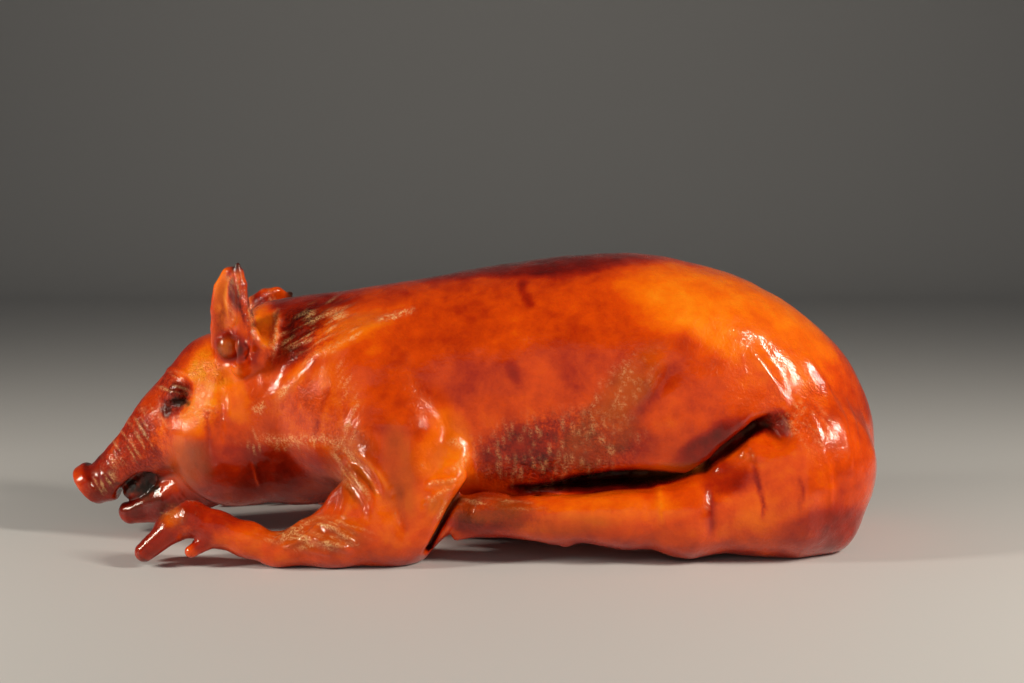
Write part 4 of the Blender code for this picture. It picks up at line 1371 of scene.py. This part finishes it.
def skin_material():
    """Glazed, browned pork skin that turns dry and crinkled, or black, where it is marked so."""
    material = bpy.data.materials.new("roast_skin_glazed")
    n = Nodes(material)
    where = n.add("ShaderNodeTexCoord").outputs["Object"]
    mottle = n.noise(where, MOTTLE, 5.0, 0.65)
    pores = n.noise(where, PORES, 3.0, 0.6)
    n.link(skin_colour(n, where, mottle, pores), n.shader.inputs["Base Color"])
    n.link(skin_roughness(n, mottle), n.shader.inputs["Roughness"])
    glaze = n.span(n.attribute("matte"), 0.0, 1.0, THICK_GLAZE, THIN_GLAZE)
    n.link(glaze, n.shader.inputs["Coat Weight"])
    height = skin_height(n, where, mottle, pores)
    for name, strength in (("Normal", SKIN_BUMP), ("Coat Normal", GLAZE_BUMP)):
        bump = n.add("ShaderNodeBump", {"Height": height}, Strength=strength, Distance=BUMP_HEIGHT)
        n.link(bump.outputs["Normal"], n.shader.inputs[name])
    for name, value in SKIN_VALUES.items():
        n.shader.inputs[name].default_value = value
    return material


# Floor, light and camera, in metres

FLOOR_HALF_WIDTH, FLOOR_FRONT, FLOOR_BACK = 5.0, -3.0, 2.2
BEND_RADIUS, BEND_START, BEND_STEPS, WALL_TOP = 1.0, 0.1, 12, 4.0
FLOOR_COLOUR, FLOOR_ROUGHNESS = (0.6, 0.6, 0.6, 1.0), 0.6
WORLD_COLOUR, WORLD_STRENGTH = (0.8, 0.8, 0.8, 1.0), 0.06
KEY_COLOUR, FILL_COLOUR = (1.0, 0.91, 0.78), (1.0, 0.95, 0.88)
# Name, place, target, width and height, watts and colour.
LIGHTS = (
    ("left_key", (-1.05, -0.42, 0.5), (-0.05, 0.0, 0.08), (0.16, 0.36), 9.5, KEY_COLOUR),
    ("right_key", (0.95, -0.5, 0.72), (0.12, 0.0, 0.1), (0.14, 0.4), 12.5, KEY_COLOUR),
    ("front_fill", (0.0, -2.2, 0.7), (0.0, 0.0, 0.08), (3.0, 1.8), 6.8, FILL_COLOUR),
)
LENS, SENSOR_WIDTH = 50.0, 36.0


def make_floor():
    """A pale floor that curves up into a backdrop."""
    profile = [(FLOOR_FRONT, 0.0), (FLOOR_BACK, 0.0)]
    for angle in np.linspace(BEND_START, math.pi / 2, BEND_STEPS):
        run, rise = BEND_RADIUS * math.sin(angle), BEND_RADIUS * (1.0 - math.cos(angle))
        profile.append((FLOOR_BACK + run, rise))
    profile.append((FLOOR_BACK + BEND_RADIUS, WALL_TOP))
    points, faces = [], []
    for y, z in profile:
        points += [(-FLOOR_HALF_WIDTH, y, z), (FLOOR_HALF_WIDTH, y, z)]
    for i in range(len(profile) - 1):
        faces.append((2 * i, 2 * i + 1, 2 * i + 3, 2 * i + 2))
    mesh = bpy.data.meshes.new("floor")
    mesh.from_pydata(points, [], faces)
    mesh.shade_smooth()
    material = bpy.data.materials.new("pale_floor")
    n = Nodes(material)
    n.shader.inputs["Base Color"].default_value = FLOOR_COLOUR
    n.shader.inputs["Roughness"].default_value = FLOOR_ROUGHNESS
    mesh.materials.append(material)
    floor = bpy.data.objects.new("floor", mesh)
    bpy.context.scene.collection.objects.link(floor)


def make_lights():
    """A dim grey world, two small bright boxes for the glaze and one broad soft fill."""
    world = bpy.data.worlds.new("studio")
    world.use_nodes = True
    background = world.node_tree.nodes["Background"]
    background.inputs["Color"].default_value = WORLD_COLOUR
    background.inputs["Strength"].default_value = WORLD_STRENGTH
    bpy.context.scene.world = world
    for name, place, target, size, power, colour in LIGHTS:
        data = bpy.data.lights.new(name, "AREA")
        data.shape = "RECTANGLE"
        data.size, data.size_y = size
        data.energy = power
        data.color = colour
        light = bpy.data.objects.new(name, data)
        light.location = place
        way = Vector(target) - Vector(place)
        light.rotation_euler = way.to_track_quat("-Z", "Y").to_euler()
        bpy.context.scene.collection.objects.link(light)


def make_camera(move):
    """The photograph's view: level with the pig's side, from CAMERA_DISTANCE away."""
    data = bpy.data.cameras.new("camera")
    data.lens, data.sensor_width = LENS, SENSOR_WIDTH
    camera = bpy.data.objects.new("camera", data)
    bpy.context.scene.collection.objects.link(camera)
    place = np.array((CAMERA_X, -CAMERA_DISTANCE, CAMERA_HEIGHT)) + move
    camera.location = place * MM
    pitch = math.atan((MIDDLE_ROW - HORIZON_ROW) / FOCAL)
    camera.rotation_euler = (math.pi / 2 - pitch, 0.0, 0.0)
    bpy.context.scene.camera = camera


pig_piece, offset = make_pig()
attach(pig_piece, "root")
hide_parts("roast_pig")
make_floor()
make_lights()
make_camera(offset)
bpy.context.scene.view_settings.view_transform = "Standard"
